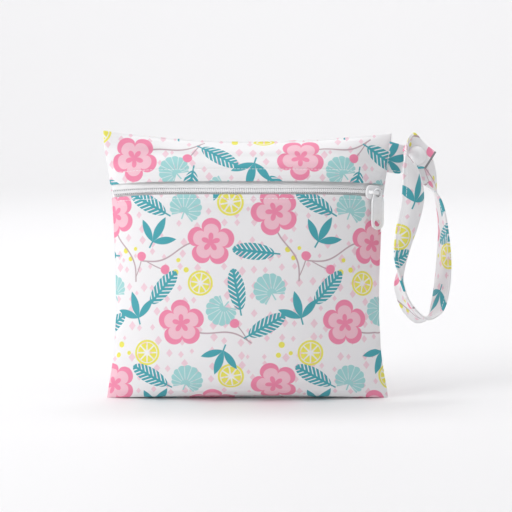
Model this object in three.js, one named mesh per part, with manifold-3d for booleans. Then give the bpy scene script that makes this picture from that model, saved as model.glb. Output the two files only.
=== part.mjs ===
// A waterproof zipped pouch: a pillow of coated cloth with a coil zip across its front,
// and a wrist strap that leaves the right side seam and closes into a loop with a snap.
// Millimetres, +Z up, the front faces -Y, the origin is the centre of the base.
import * as THREE from "three";
import { mergeVertices } from "three/addons/utils/BufferGeometryUtils.js";
import Module from "manifold-3d";

const wasm = await Module();
wasm.setup();

// Cloth pouch
const TOP_MIDDLE = 172.9; // height of the top edge at the middle
const TOP_LEFT = 180.3; // heights of the two top corners
const TOP_RIGHT = 178.6;
const TOP_HALF = 95.7; // half width at the top corners
const TOP_LIFT = 1.8; // power with which the top edge lifts towards its corners
const CROWN_FLAT = 2.2; // powers of the pillow's crown across its width
const CROWN_FULL = 0.8;
const CLOTH = 1.2; // wall of coated cloth
const SEAM_HALF = 1.2; // half thickness of the sewn edge
const SEAM_RIM = 3; // turned allowance inside the edge
const GAP = 0.3; // clearance between separate pieces
const COLUMNS = 24;
const ROWS = 22;
const MERGE = 1e-4; // points closer than this are one
const BEYOND = 10; // how far a cutting body passes what it cuts
const ROUND_STEPS = 7; // segments of each drawn arc

// Zip across the front
const ZIP_HEIGHT = 141.55; // zip line at the middle
const ZIP_DROP = 2.863; // the line bows down by this at both side seams
const ZIP_BOW = 4.81; // power with which it bows: nearly straight between its ends
const SLOT_HALF = 4.2; // half height of the slot at the middle
const SLOT_NARROWING = 0.6; // the slot is this much lower each side at its ends
const ZIP_END = 89.5; // tapes and coils end here, by the side seams
const TAPE = 0.8;
const TAPE_BEHIND = 4; // how far a tape reaches behind the cloth
const TAPE_SINK = 1.9; // tape face below the cloth's outer face
const COIL_WIDE = 2;
const COIL_HIGH = 1.6;
const COIL_REST = 0.1; // half gap between the meshed coils
const COIL_SPREAD = 1.2; // half gap where the slider's wedge parts them
const TAPE_TRIM = 5; // the tapes narrow to the slot this far before their ends
const TAPE_TAPER = 3;

// Slider and its pull
const SLIDER_X = 82.1;
const PLATE_LONG = 10.4;
const PLATE_WIDE = 9.2;
const PLATE_THICK = 1.5;
const PLATE_CORNER = 3;
const SLIDER_CLEAR = 0.45; // running clearance over coils and tapes
const SLIDER_SPREAD = 2; // the coils part over this much each side of the slider's middle
const SLIDER_REACH = 3; // half base over which its turn and tilt are measured
const INNER_LONG = 7.8;
const INNER_CORNER = 2;
const INNER_THICK = 1.1;
const WEDGE_LONG = 2;
const WEDGE_WIDE = 1.6;
const BRIDGE_LEG = 1.5;
const BRIDGE_WIDE = 2.2;
const BRIDGE_SPAN = 6.8;
const BRIDGE_CLEAR = 2.5;
const BRIDGE_BAR = 1.2;
const FUSED = 0.2; // how far the moulded forms of the slider run into each other
const PULL_LONG = 24.6; // hinge to lower end
const PULL_WIDE = 9;
const PULL_THICK = 1.5;
const PULL_RECESS = 0.45;
const PULL_BORDER = 1.1;
const PULL_SHOULDER = 3; // below the eye's ring the tab reaches its full width
const RECESS_DROP = 4;
const RECESS_CORNER = 1.2;
const EYE_HOLE = 1.75;
const EYE_SLOT = 1; // the eye is this much longer than wide
const EYE_RING = 3.15;
const END_HOLE = 2.3;

// Wrist strap and snap
const STRAP_WIDE = 20.6;
const STRAP_THICK = 1.6;
const STRAP_STEPS = 3; // sections between two stations
const SNAP_CAP = 12.4; // diameter of the domed cap
const SNAP_DOME = 2.8;
const SNAP_STUD = 9;
const SNAP_BACK = 11;
const SNAP_POST = 1.3;
const SNAP_RIM = 0.7; // height of the caps' rims
const SNAP_BEVEL = 0.5;
const SNAP_SIDES = 16;
const CROWN_STEPS = 4;
const SEAT_RADIUS = 6.5; // the strap stays clear of the caps inside this
const SEAT_HEIGHT = 3.4;

// Half depth in the middle and half width of the pillow, by share of its height
const PROFILE = [
  { share: 0, depth: 9, half: 95.3 },
  { share: 0.012, depth: 12, half: 95 },
  { share: 0.046, depth: 16, half: 94.1 },
  { share: 0.116, depth: 19.5, half: 91.9 },
  { share: 0.23, depth: 22, half: 89.7 },
  { share: 0.4, depth: 23.5, half: 88.6 },
  { share: 0.58, depth: 23.2, half: 89.2 },
  { share: 0.72, depth: 22, half: 90.2 },
  { share: 0.83, depth: 20, half: 92 },
  { share: 0.9, depth: 16.5, half: 94 },
  { share: 0.95, depth: 11.5, half: 95.2 },
  { share: 0.985, depth: 6, half: 95.6 },
  { share: 1, depth: SEAM_HALF, half: TOP_HALF },
];

// Soft dents in the front
const DENTS = [
  { x: 82, z: 160, reach_x: 12, reach_z: 13, depth: 1.8 },
  { x: -60, z: 166, reach_x: 16, reach_z: 7, depth: 1.4 },
  { x: 80, z: 95, reach_x: 9, reach_z: 34, depth: 1.2 },
];

// The strap from the seam to its snapped end: centre, direction to its near edge, share of full width
const STRAP = [
  { x: 90, y: -0.9, z: 163.7, edge_x: -0.12, edge_y: 0, edge_z: -0.99, gather: 1 },
  { x: 102, y: 1.9, z: 161.2, edge_x: -0.15, edge_y: 0.25, edge_z: -0.95, gather: 1 },
  { x: 111.1, y: 2.6, z: 162.4, edge_x: -0.5, edge_y: -0.35, edge_z: -0.79, gather: 1 },
  { x: 118.4, y: 6.2, z: 155.4, edge_x: -0.48, edge_y: -0.46, edge_z: -0.75, gather: 1 },
  { x: 123.5, y: 9, z: 146.9, edge_x: -0.4, edge_y: -0.83, edge_z: -0.36, gather: 1 },
  { x: 127.1, y: 10, z: 138, edge_x: -0.1, edge_y: -0.99, edge_z: 0.02, gather: 1 },
  { x: 130, y: 10.5, z: 128.5, edge_x: 0.08, edge_y: -0.99, edge_z: 0.06, gather: 1 },
  { x: 132.3, y: 10.5, z: 112.9, edge_x: 0.17, edge_y: -0.98, edge_z: 0.08, gather: 1 },
  { x: 132.8, y: 9, z: 91.3, edge_x: 0.35, edge_y: -0.93, edge_z: 0.08, gather: 1 },
  { x: 131.3, y: 6.5, z: 73.8, edge_x: 0.38, edge_y: -0.92, edge_z: 0, gather: 1 },
  { x: 128, y: 3, z: 61.4, edge_x: 0.27, edge_y: -0.96, edge_z: -0.1, gather: 1 },
  { x: 121.9, y: -0.5, z: 54.1, edge_x: -0.06, edge_y: -0.99, edge_z: 0.12, gather: 1 },
  { x: 113.8, y: -4, z: 55.3, edge_x: 0.04, edge_y: -0.9, edge_z: 0.44, gather: 1 },
  { x: 105.5, y: -7.5, z: 65, edge_x: 0.16, edge_y: -0.91, edge_z: 0.38, gather: 1 },
  { x: 100.9, y: -10.5, z: 78.2, edge_x: 0.16, edge_y: -0.98, edge_z: 0.13, gather: 1 },
  { x: 100.8, y: -12.5, z: 89.8, edge_x: -0.22, edge_y: -0.97, edge_z: 0.05, gather: 1 },
  { x: 102.1, y: -14, z: 100.6, edge_x: -0.58, edge_y: -0.81, edge_z: 0.03, gather: 1 },
  { x: 105.4, y: -15, z: 116.6, edge_x: -0.82, edge_y: -0.57, edge_z: 0.04, gather: 1 },
  { x: 108.8, y: -15.5, z: 133.2, edge_x: -0.86, edge_y: -0.51, edge_z: 0, gather: 1 },
  { x: 108.8, y: -15, z: 146.9, edge_x: -0.76, edge_y: -0.65, edge_z: -0.04, gather: 1 },
  { x: 106.7, y: -14.5, z: 156.7, edge_x: -0.6, edge_y: -0.8, edge_z: -0.06, gather: 0.85 },
  { x: 104.4, y: -13, z: 163.8, edge_x: -0.32, edge_y: -0.94, edge_z: -0.1, gather: 0.52 },
  { x: 104.8, y: -8.8, z: 169.2, edge_x: -0.3, edge_y: -0.7, edge_z: -0.6, gather: 0.5 },
  { x: 107, y: -2.6, z: 172.4, edge_x: -0.5, edge_y: -0.1, edge_z: -0.86, gather: 0.74 },
  { x: 112.2, y: -1.9, z: 163.6, edge_x: -0.6, edge_y: -0.1, edge_z: -0.79, gather: 0.97 },
  { x: 121.9, y: -3.2, z: 160.6, edge_x: -0.53, edge_y: -0.1, edge_z: -0.84, gather: 0.62 },
];
const SNAP_STATION = STRAP.length - 2;
const UNDER_STATION = 2;

const COLOURS = {
  cloth: { color: 0xf3f0f2, roughness: 0.6, metalness: 0 },
  tape: { color: 0xf2f2f2, roughness: 0.85, metalness: 0 },
  plastic: { color: 0xf6f5f6, roughness: 0.35, metalness: 0 },
};

const point = (x, y, z) => new THREE.Vector3(x, y, z);
const clamp = THREE.MathUtils.clamp;
const smoothstep = THREE.MathUtils.smoothstep;

// One column of a table, read between its rows by a cubic that never overshoots
function column(rows, at, name) {
  const steps = rows.slice(1).map((row, i) => row[at] - rows[i][at]);
  const slopes = rows.slice(1).map((row, i) => (row[name] - rows[i][name]) / steps[i]);
  const tangents = rows.map((row, i) => {
    if (i === 0) return slopes[0];
    if (i === rows.length - 1) return slopes[i - 1];
    if (slopes[i - 1] * slopes[i] <= 0) return 0;
    return (2 * slopes[i - 1] * slopes[i]) / (slopes[i - 1] + slopes[i]);
  });
  return (value) => {
    const v = clamp(value, rows[0][at], rows[rows.length - 1][at]);
    const i = Math.max(0, rows.findIndex((row) => row[at] >= v) - 1);
    const t = (v - rows[i][at]) / steps[i];
    const from = rows[i][name] + tangents[i] * steps[i] * t;
    const to = rows[i + 1][name] - tangents[i + 1] * steps[i] * (1 - t);
    const blend = t * t * (3 - 2 * t);
    return from * (1 - blend) + to * blend;
  };
}

const middleDepth = column(PROFILE, "share", "depth");
const halfWidth = column(PROFILE, "share", "half");

function topEdge(x) {
  const corner = x < 0 ? TOP_LEFT : TOP_RIGHT;
  return TOP_MIDDLE + (corner - TOP_MIDDLE) * Math.abs(x / TOP_HALF) ** TOP_LIFT;
}

// Half depth of the pillow at a place on its front or back
function halfDepth(x, z) {
  const share = z / topEdge(x);
  const aside = Math.min(1, Math.abs(x) / halfWidth(share));
  return SEAM_HALF + (middleDepth(share) - SEAM_HALF) * (1 - aside ** CROWN_FLAT) ** CROWN_FULL;
}

function dent(x, z) {
  return DENTS.reduce((sum, d) => {
    const away = ((x - d.x) / d.reach_x) ** 2 + ((z - d.z) / d.reach_z) ** 2;
    return sum + d.depth * Math.exp(-2 * away);
  }, 0);
}

function frontDepth(x, z) {
  const depth = halfDepth(x, z);
  return depth - dent(x, z) * clamp((depth - SEAM_HALF) / SEAM_RIM, 0, 1);
}

// Zip line, slot and the half gap between the coils
const zipLine = (x) => ZIP_HEIGHT - ZIP_DROP * Math.abs(x / ZIP_END) ** ZIP_BOW;
const slotHalf = (x) => SLOT_HALF - SLOT_NARROWING * (x / ZIP_END) ** 2;
const parting = (x) => smoothstep(x, SLIDER_X - SLIDER_SPREAD, SLIDER_X + SLIDER_SPREAD);
const coilGap = (x) => COIL_REST + COIL_SPREAD * parting(x);
const tapeFace = (x, z) => -Math.max(frontDepth(x, z) - TAPE_SINK, SEAM_HALF + GAP);

function geometryOf(points, faces) {
  const geometry = new THREE.BufferGeometry();
  geometry.setFromPoints(points);
  geometry.setIndex(faces);
  return geometry;
}

// Closed body between two lattices of points, the near one facing -Y
function slab(near, far) {
  const across = near.length;
  const up = near[0].length;
  const points = [...near.flat(), ...far.flat()];
  const right = across - 1;
  const top = up - 1;
  const at = (side, i, j) => side * across * up + i * up + j;
  const faces = [];
  const quad = (a, b, c, d) => faces.push(a, b, c, a, c, d);
  for (let i = 0; i < right; i++) {
    for (let j = 0; j < top; j++) {
      quad(at(0, i, j), at(0, i + 1, j), at(0, i + 1, j + 1), at(0, i, j + 1));
      quad(at(1, i, j), at(1, i, j + 1), at(1, i + 1, j + 1), at(1, i + 1, j));
    }
    quad(at(0, i, 0), at(1, i, 0), at(1, i + 1, 0), at(0, i + 1, 0));
    quad(at(0, i, top), at(0, i + 1, top), at(1, i + 1, top), at(1, i, top));
  }
  for (let j = 0; j < top; j++) {
    quad(at(0, right, j), at(1, right, j), at(1, right, j + 1), at(0, right, j + 1));
    quad(at(0, 0, j), at(0, 0, j + 1), at(1, 0, j + 1), at(1, 0, j));
  }
  return geometryOf(points, faces);
}

function lattice(across, up, place) {
  return Array.from({ length: across + 1 }, (_, i) =>
    Array.from({ length: up + 1 }, (_, j) => place(i / across, j / up)),
  );
}

function solidOf(geometry) {
  const bare = geometry.clone();
  bare.deleteAttribute("normal");
  bare.deleteAttribute("uv");
  const merged = mergeVertices(bare, MERGE);
  const vertProperties = new Float32Array(merged.attributes.position.array);
  const triVerts = new Uint32Array(merged.index.array);
  return new wasm.Manifold(new wasm.Mesh({ numProp: 3, vertProperties, triVerts }));
}

function geometryFrom(solid) {
  const made = solid.getMesh();
  const geometry = new THREE.BufferGeometry();
  geometry.setAttribute("position", new THREE.BufferAttribute(made.vertProperties, 3));
  geometry.setIndex(new THREE.BufferAttribute(made.triVerts, 1));
  geometry.computeVertexNormals();
  return geometry;
}

function piece(name, geometry, finish) {
  const mesh = new THREE.Mesh(geometry, new THREE.MeshStandardMaterial(finish));
  mesh.name = name;
  return mesh;
}

// A body drawn in X and Z and pushed through from y = from to y = to
function pushed(shape, from, to) {
  const geometry = new THREE.ExtrudeGeometry(shape, {
    depth: to - from,
    bevelEnabled: false,
    curveSegments: ROUND_STEPS,
  });
  geometry.rotateX(Math.PI / 2);
  geometry.translate(0, to, 0);
  return geometry;
}

function box(sizeX, sizeY, sizeZ, x, y, z) {
  return new THREE.BoxGeometry(sizeX, sizeY, sizeZ).translate(x, y, z);
}

// The hollow pillow, then its two cloth pieces cut apart along the slot
function pillow(rim, wall) {
  const side = (depthAt, sign) =>
    lattice(COLUMNS, ROWS, (u, v) => {
      const aside = Math.sin((u - 0.5) * Math.PI);
      const share = (1 - Math.cos(v * Math.PI)) / 2;
      const x = aside * (halfWidth(share) - rim);
      const z = wall + share * (topEdge(x) - rim - wall);
      return point(x, sign * Math.max(depthAt(x, z) - wall, GAP), z);
    });
  return solidOf(slab(side(frontDepth, -1), side(halfDepth, 1)));
}

function aboveZip(edge, back) {
  const reach = TOP_HALF + BEYOND;
  const ceiling = Math.max(TOP_LEFT, TOP_RIGHT) + BEYOND;
  const front = -middleDepth(0.5) - BEYOND;
  const shape = new THREE.Shape();
  shape.moveTo(-reach, ceiling);
  for (let i = 0; i <= COLUMNS; i++) {
    const x = -reach + (2 * reach * i) / COLUMNS;
    shape.lineTo(x, edge(clamp(x, -TOP_HALF, TOP_HALF)));
  }
  shape.lineTo(reach, ceiling);
  return solidOf(pushed(shape, front, back));
}

const shell = pillow(0, 0).subtract(pillow(SEAM_RIM, CLOTH));
const bodyPanel = shell.subtract(aboveZip((x) => zipLine(x) - slotHalf(x), GAP / 2));
const upperPanel = shell.intersect(aboveZip((x) => zipLine(x) + slotHalf(x), -GAP / 2));

// Tapes behind the cloth edges, and the coils on the tapes' meeting edges
function zipStrip(side, innerEdge, outerEdge, face, thick) {
  const lower = side > 0 ? innerEdge : outerEdge;
  const upper = side > 0 ? outerEdge : innerEdge;
  const layer = (depth) =>
    lattice(2 * COLUMNS, 1, (u, v) => {
      const x = ZIP_END * Math.sin((u - 0.5) * Math.PI);
      const z = zipLine(x) + side * THREE.MathUtils.lerp(lower(x), upper(x), v);
      return point(x, face(x, z) + depth, z);
    });
  return slab(layer(0), layer(thick));
}

function tapeReach(x) {
  const full = ZIP_END - TAPE_TRIM - TAPE_TAPER;
  const behind = 1 - smoothstep(Math.abs(x), full, full + TAPE_TAPER);
  return slotHalf(x) - GAP + behind * (TAPE_BEHIND + GAP);
}

const tape = (side) => zipStrip(side, (x) => coilGap(x) + GAP, tapeReach, tapeFace, TAPE);
const coilFace = (x, z) => tapeFace(x, z) - GAP - COIL_HIGH;
const coil = (side) =>
  zipStrip(side, coilGap, (x) => coilGap(x) + COIL_WIDE, coilFace, COIL_HIGH);

// Slider: outer plate with its bridge, inner plate, and the wedge that joins them between the coils
const coilMiddle = (x) => coilFace(x, zipLine(x)) + COIL_HIGH / 2;
const PLATE_INSIDE = -(COIL_HIGH / 2 + SLIDER_CLEAR);
const PLATE_OUTSIDE = PLATE_INSIDE - PLATE_THICK;
const INNER_NEAR = COIL_HIGH / 2 + GAP + TAPE + SLIDER_CLEAR;
const INNER_FAR = INNER_NEAR + INNER_THICK;
const WEDGE_X = PLATE_LONG / 2 - WEDGE_LONG;
const LEG_X = (BRIDGE_SPAN - BRIDGE_LEG) / 2;

function roundedPlate(long, wide, corner) {
  const shape = new THREE.Shape();
  const x = long / 2;
  const z = wide / 2;
  shape.absarc(x - corner, z - corner, corner, 0, Math.PI / 2);
  shape.absarc(-x + corner, z - corner, corner, Math.PI / 2, Math.PI);
  shape.absarc(-x + corner, -z + corner, corner, Math.PI, 1.5 * Math.PI);
  shape.absarc(x - corner, -z + corner, corner, 1.5 * Math.PI, 2 * Math.PI);
  return shape;
}

function slider() {
  const legLong = BRIDGE_CLEAR + BRIDGE_BAR + FUSED;
  const legMiddle = PLATE_OUTSIDE + FUSED - legLong / 2;
  const barMiddle = PLATE_OUTSIDE - BRIDGE_CLEAR - BRIDGE_BAR / 2;
  const wedgeLong = INNER_NEAR - PLATE_INSIDE + 2 * FUSED;
  const wedgeMiddle = (INNER_NEAR + PLATE_INSIDE) / 2;
  const innerX = -(PLATE_LONG - INNER_LONG) / 2;
  const outerShape = roundedPlate(PLATE_LONG, PLATE_WIDE, PLATE_CORNER);
  const innerShape = roundedPlate(INNER_LONG, PLATE_WIDE, INNER_CORNER);
  const outer = solidOf(pushed(outerShape, PLATE_OUTSIDE, PLATE_INSIDE));
  const forms = [
    pushed(innerShape, INNER_NEAR, INNER_FAR).translate(innerX, 0, 0),
    box(WEDGE_LONG, wedgeLong, WEDGE_WIDE, WEDGE_X - WEDGE_LONG / 2, wedgeMiddle, 0),
    box(BRIDGE_LEG, legLong, BRIDGE_WIDE, -LEG_X, legMiddle, 0),
    box(BRIDGE_LEG, legLong, BRIDGE_WIDE, LEG_X, legMiddle, 0),
    box(BRIDGE_SPAN, BRIDGE_BAR, BRIDGE_WIDE, 0, barMiddle, 0),
  ];
  return forms.reduce((made, form) => made.add(solidOf(form)), outer);
}

// Pull: a rounded tab with a sunk face, an eye on the bridge's right leg and a hole in its lower end
function pullOutline() {
  const half = PULL_WIDE / 2;
  const end = half - PULL_LONG;
  const shoulder = -EYE_RING - PULL_SHOULDER;
  const shape = new THREE.Shape();
  shape.absarc(0, 0, EYE_RING, 0, Math.PI);
  shape.bezierCurveTo(-EYE_RING, shoulder / 2, -half, shoulder / 2, -half, shoulder);
  shape.absarc(0, end, half, Math.PI, 2 * Math.PI);
  shape.lineTo(half, shoulder);
  shape.bezierCurveTo(half, shoulder / 2, EYE_RING, shoulder / 2, EYE_RING, 0);
  const eye = new THREE.Path();
  eye.absarc(0, 0, EYE_HOLE, 0, Math.PI);
  eye.absarc(0, -EYE_SLOT, EYE_HOLE, Math.PI, 2 * Math.PI);
  const hole = new THREE.Path();
  hole.absarc(0, end, END_HOLE, 0, 2 * Math.PI);
  shape.holes.push(eye, hole);
  return shape;
}

function pullRecess() {
  const top = -EYE_RING - RECESS_DROP;
  const bottom = PULL_WIDE - PULL_LONG;
  const shape = roundedPlate(PULL_WIDE - 2 * PULL_BORDER, top - bottom, RECESS_CORNER);
  const sunk = pushed(shape, -PULL_THICK, PULL_RECESS - PULL_THICK / 2);
  return sunk.translate(0, 0, (top + bottom) / 2);
}

function pull() {
  const tab = solidOf(pushed(pullOutline(), -PULL_THICK / 2, PULL_THICK / 2));
  return tab.subtract(solidOf(pullRecess()));
}

// Strap: a flat six-sided section swept through the stations
function throughStations(read) {
  return new THREE.CatmullRomCurve3(STRAP.map(read), false, "catmullrom");
}

function strapFrames() {
  const centres = throughStations((s) => point(s.x, s.y, s.z));
  const edges = throughStations((s) => point(s.edge_x, s.edge_y, s.edge_z));
  const gathers = throughStations((s) => point(s.gather, 0, 0));
  const count = (STRAP.length - 1) * STRAP_STEPS;
  return Array.from({ length: count + 1 }, (_, i) => {
    const t = i / count;
    const along = centres.getTangent(t).normalize();
    const edge = edges.getPoint(t).normalize();
    const face = point(0, 0, 0).crossVectors(along, edge).normalize();
    return { centre: centres.getPoint(t), edge, face, wide: STRAP_WIDE * gathers.getPoint(t).x };
  });
}

function loft(sections) {
  const sides = sections[0].length;
  const faces = [];
  for (let i = 0; i < sections.length - 1; i++) {
    for (let k = 0; k < sides; k++) {
      const a = i * sides + k;
      const b = i * sides + ((k + 1) % sides);
      faces.push(a, b, b + sides, a, b + sides, a + sides);
    }
  }
  const last = (sections.length - 1) * sides;
  for (let k = 1; k < sides - 1; k++) {
    faces.push(0, k + 1, k);
    faces.push(last, last + k, last + k + 1);
  }
  return geometryOf(sections.flat(), faces);
}

function strapSection({ centre, edge, face, wide }) {
  const half = wide / 2;
  const thick = STRAP_THICK / 2;
  const flat = half - thick;
  const outline = [
    [half, 0],
    [flat, thick],
    [-flat, thick],
    [-half, 0],
    [-flat, -thick],
    [flat, -thick],
  ];
  const place = ([a, b]) => centre.clone().addScaledVector(edge, a).addScaledVector(face, b);
  return outline.map(place);
}

const frames = strapFrames();
const snapFrame = frames[SNAP_STATION * STRAP_STEPS];
const underFrame = frames[UNDER_STATION * STRAP_STEPS];
const snapOut = snapFrame.face.clone().multiplyScalar(snapFrame.face.y < 0 ? 1 : -1);
const layerGap = snapOut.dot(snapFrame.centre.clone().sub(underFrame.centre));

// A round body on the snap's axis, from radius and height above the middle of the upper layer
function onSnap(profile) {
  const points = profile.map(([radius, height]) => new THREE.Vector2(radius, height));
  const geometry = new THREE.LatheGeometry(points, SNAP_SIDES);
  geometry.applyQuaternion(new THREE.Quaternion().setFromUnitVectors(point(0, 1, 0), snapOut));
  const { x, y, z } = snapFrame.centre;
  return geometry.translate(x, y, z);
}

function disc(radius, from, to) {
  return onSnap([
    [0, from],
    [radius, from],
    [radius, to],
    [0, to],
  ]);
}

// A domed cap on its post: the post ends at height post, the cap sits at height seat
function domed(diameter, seat, high, post) {
  const radius = diameter / 2;
  const rim = seat + Math.sign(high) * SNAP_RIM;
  const crown = Array.from({ length: CROWN_STEPS }, (_, i) => {
    const angle = (i * Math.PI) / (2 * CROWN_STEPS);
    return [radius * Math.cos(angle), rim + (seat + high - rim) * Math.sin(angle)];
  });
  const foot = [
    [0, post],
    [SNAP_POST, post],
    [SNAP_POST, seat],
    [radius - SNAP_BEVEL, seat],
  ];
  const profile = [...foot, ...crown, [0, seat + high]];
  return onSnap(high > 0 ? profile : profile.reverse());
}

const faceTop = STRAP_THICK / 2;
const underTop = faceTop - layerGap;
const underBottom = -faceTop - layerGap;

// The strap is cut back from the side seam that holds it, and from the snap that goes through it
function strap() {
  const cuts = [
    disc(SEAT_RADIUS, faceTop, faceTop + SEAT_HEIGHT),
    disc(SEAT_RADIUS, underTop, -faceTop),
    disc(SEAT_RADIUS, underBottom - SEAT_HEIGHT, underBottom),
    disc(SNAP_POST + GAP, underBottom - GAP, faceTop + GAP),
  ];
  const whole = solidOf(loft(frames.map(strapSection))).subtract(pillow(-GAP, -GAP));
  return cuts.reduce((made, cut) => made.subtract(solidOf(cut)), whole);
}

const group = new THREE.Group();
group.add(piece("body_panel", geometryFrom(bodyPanel), COLOURS.cloth));
group.add(piece("front_upper_panel", geometryFrom(upperPanel), COLOURS.cloth));
group.add(piece("zip_tape_upper", tape(1), COLOURS.tape));
group.add(piece("zip_tape_lower", tape(-1), COLOURS.tape));
group.add(piece("zip_coil_upper", coil(1), COLOURS.plastic));
group.add(piece("zip_coil_lower", coil(-1), COLOURS.plastic));

// The slider stands square to the cloth where it sits, and tilts with the zip line
const ahead = SLIDER_X + SLIDER_REACH;
const behind = SLIDER_X - SLIDER_REACH;
const turn = Math.atan2(coilMiddle(ahead) - coilMiddle(behind), ahead - behind);
const tilt = Math.atan2(zipLine(behind) - zipLine(ahead), ahead - behind);
const sliderPlace = new THREE.Group();
sliderPlace.position.set(SLIDER_X, coilMiddle(SLIDER_X), zipLine(SLIDER_X));
sliderPlace.rotation.z = turn;
const sliderMesh = piece("zip_slider", geometryFrom(slider()), COLOURS.plastic);
sliderMesh.rotation.y = tilt;
const pullMesh = piece("pull_tab", geometryFrom(pull()), COLOURS.plastic);
const pullMiddle = PLATE_OUTSIDE - BRIDGE_CLEAR / 2;
pullMesh.position.set(LEG_X * Math.cos(tilt), pullMiddle, -LEG_X * Math.sin(tilt));
sliderPlace.add(sliderMesh, pullMesh);
group.add(sliderPlace);

const snapCap = domed(SNAP_CAP, faceTop + GAP, SNAP_DOME, -faceTop);
const snapStud = disc(SNAP_STUD / 2, underTop + GAP, -faceTop - GAP);
const snapBackCap = domed(SNAP_BACK, underBottom - GAP, -SNAP_DOME, underTop);
group.add(piece("wrist_strap", geometryFrom(strap()), COLOURS.cloth));
group.add(piece("snap_cap", snapCap, COLOURS.plastic));
group.add(piece("snap_stud", snapStud, COLOURS.plastic));
group.add(piece("snap_back_cap", snapBackCap, COLOURS.plastic));

export default group;
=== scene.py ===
import math

import bmesh
import bpy
import numpy as np
from mathutils import Matrix, Vector


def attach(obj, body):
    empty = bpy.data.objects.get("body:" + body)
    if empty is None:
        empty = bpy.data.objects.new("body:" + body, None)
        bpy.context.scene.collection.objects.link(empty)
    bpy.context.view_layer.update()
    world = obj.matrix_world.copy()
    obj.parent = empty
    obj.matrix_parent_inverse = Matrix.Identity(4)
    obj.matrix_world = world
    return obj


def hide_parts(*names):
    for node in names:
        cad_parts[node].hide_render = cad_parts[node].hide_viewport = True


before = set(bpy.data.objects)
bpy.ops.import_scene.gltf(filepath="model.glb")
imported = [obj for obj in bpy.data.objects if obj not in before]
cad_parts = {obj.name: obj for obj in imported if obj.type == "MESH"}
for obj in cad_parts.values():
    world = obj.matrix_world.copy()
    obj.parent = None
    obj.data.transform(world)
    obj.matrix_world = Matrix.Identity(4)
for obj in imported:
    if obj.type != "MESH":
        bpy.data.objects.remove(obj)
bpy.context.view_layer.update()        # let the imported pieces' new placings take effect

# Body panel
# The front below the zip, the base and the back are one panel of printed polyester knit with a
# waterproof film behind it. It is folded under the base, sewn along the sides and the top, turned
# right side out, and hemmed along the lower edge of the zip.
MM = 0.001
TOP_MIDDLE = 172.9  # height of the top edge at the middle
TOP_LEFT = 180.3  # heights of the two top corners
TOP_RIGHT = 178.6
TOP_HALF = 95.7
TOP_LIFT = 1.8  # power with which the top edge lifts towards its corners
CROWN_FLAT = 2.2  # powers of the pillow's crown across its width
CROWN_FULL = 0.8
SEAM_HALF = 1.2  # half thickness of the sewn edge
SEAM_RIM = 3.0  # dents fade out over this depth
LIP = 1.0  # radius of the rolled edge on each side of a seam
GROOVE = 0.15  # half gap between two sewn edges
STRAP_ROOT_Z = 162.8  # the strap is sewn into the right side seam here
STRAP_ROOT_HALF = 10.3
STRAP_ROOT_OPEN = 0.75  # the seam's half gap grows by this round the strap
ROOT_CLEAR = 2.5  # it starts to open this far past the strap's edges
ROOT_EASE = 3.0
ROOT_REACH = 4.0  # only the outermost stretch of the panel opens
ALLOWANCE = 2.2  # cloth turned in behind a seam
LIP_STEPS = 4
LIP_FLAT = 0.4  # flat length of one step round the lip
CLOTH = 0.5  # thickness of one layer
HEM_ROLL = 0.5  # radius of the fold along the zip
HEM_TURN = 3.4
HEM_STEPS = 5
HEM_OVER = 1.9  # the lower hem covers this much more of the zip at its middle
HEM_FALL = 0.65  # share of that cover that is lost towards the ends
HEM_OPEN = 1.85  # the upper hem is drawn back from it by this
CUFF_ABOVE = (  # distance from the upper hem, how far the cloth stands out over the tape there
    (0, 0),
    (4, 0.55),
    (7.4, 0.6),
    (8, 0.25),
    (8.6, 0.5),
    (14, 0),
)
CUFF_BELOW = (  # the same below the lower hem
    (0, 0.5),
    (2.2, 0.9),
    (2.7, 0.75),
    (3.2, 0.95),
    (6, 1.2),
    (11.6, 0.12),
    (12.8, 0),
)
TURNED_IN = 1.2  # turned allowances stay this high above the table
BASE_LIFT = 3.2  # the front's lower edge stands clear of the table between its corners
LIFT_FADE = 0.09  # share of the height over which that lift fades out
SWELLS = (  # height of a slow swell, and its two crossed waves: length in x, in z, and start
    (0.34, (23, math.inf, 1.3), (math.inf, 29, 0.4)),
    (0.2, (12.7, 18.3, 2.1), (-33, 15.1, 0)),
)
SWELL_RIM = 14.0  # the swells fade out this near to the side seams
PUCKER = 0.42  # height of the puckers that the side seams draw in
PUCKER_LONG = 2.1  # millimetres to a radian of their wave
PUCKER_DRIFT = (1.6, 13)  # their spacing wanders by this, over this length
PUCKER_REACH = 8.0
PUCKER_RIM = 3.5
FOOT_FADE = 0.06  # the slack fades out over these shares of the height at the base and the top
TOP_FADE = 0.05
CUFF_FADE = 0.05  # the cuffs fade out over this share of the half width
ZIP_HEIGHT = 141.55  # zip line at the middle
ZIP_DROP = 2.863  # it bows down by this at both ends
ZIP_BOW = 4.81  # power with which it bows
ZIP_END = 89.5
SLOT_HALF = 4.2  # half height of the slot at the middle
SLOT_NARROWING = 0.6
COLUMNS = 116
FRONT_ROWS = 120
BASE_ROWS = 8
BACK_ROWS = 104
SETTLE_ROUNDS = 8  # rounds in which a column finds where the slot cuts it
UV_NAME = "cloth_mm"
PROFILE = (  # share of the height, half depth in the middle, half width
    (0, 9, 95.3),
    (0.012, 12, 95),
    (0.046, 16, 94.1),
    (0.116, 19.5, 91.9),
    (0.23, 22, 89.7),
    (0.4, 23.5, 88.6),
    (0.58, 23.2, 89.2),
    (0.72, 22, 90.2),
    (0.83, 20, 92),
    (0.9, 16.5, 94),
    (0.95, 11.5, 95.2),
    (0.985, 6, 95.6),
    (1, SEAM_HALF, TOP_HALF),
)
DENTS = (  # x, z, reach in x, reach in z, depth
    (82, 160, 12, 13, 1.8),
    (-60, 166, 16, 7, 1.4),
    (80, 95, 9, 34, 1.2),
)


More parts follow.
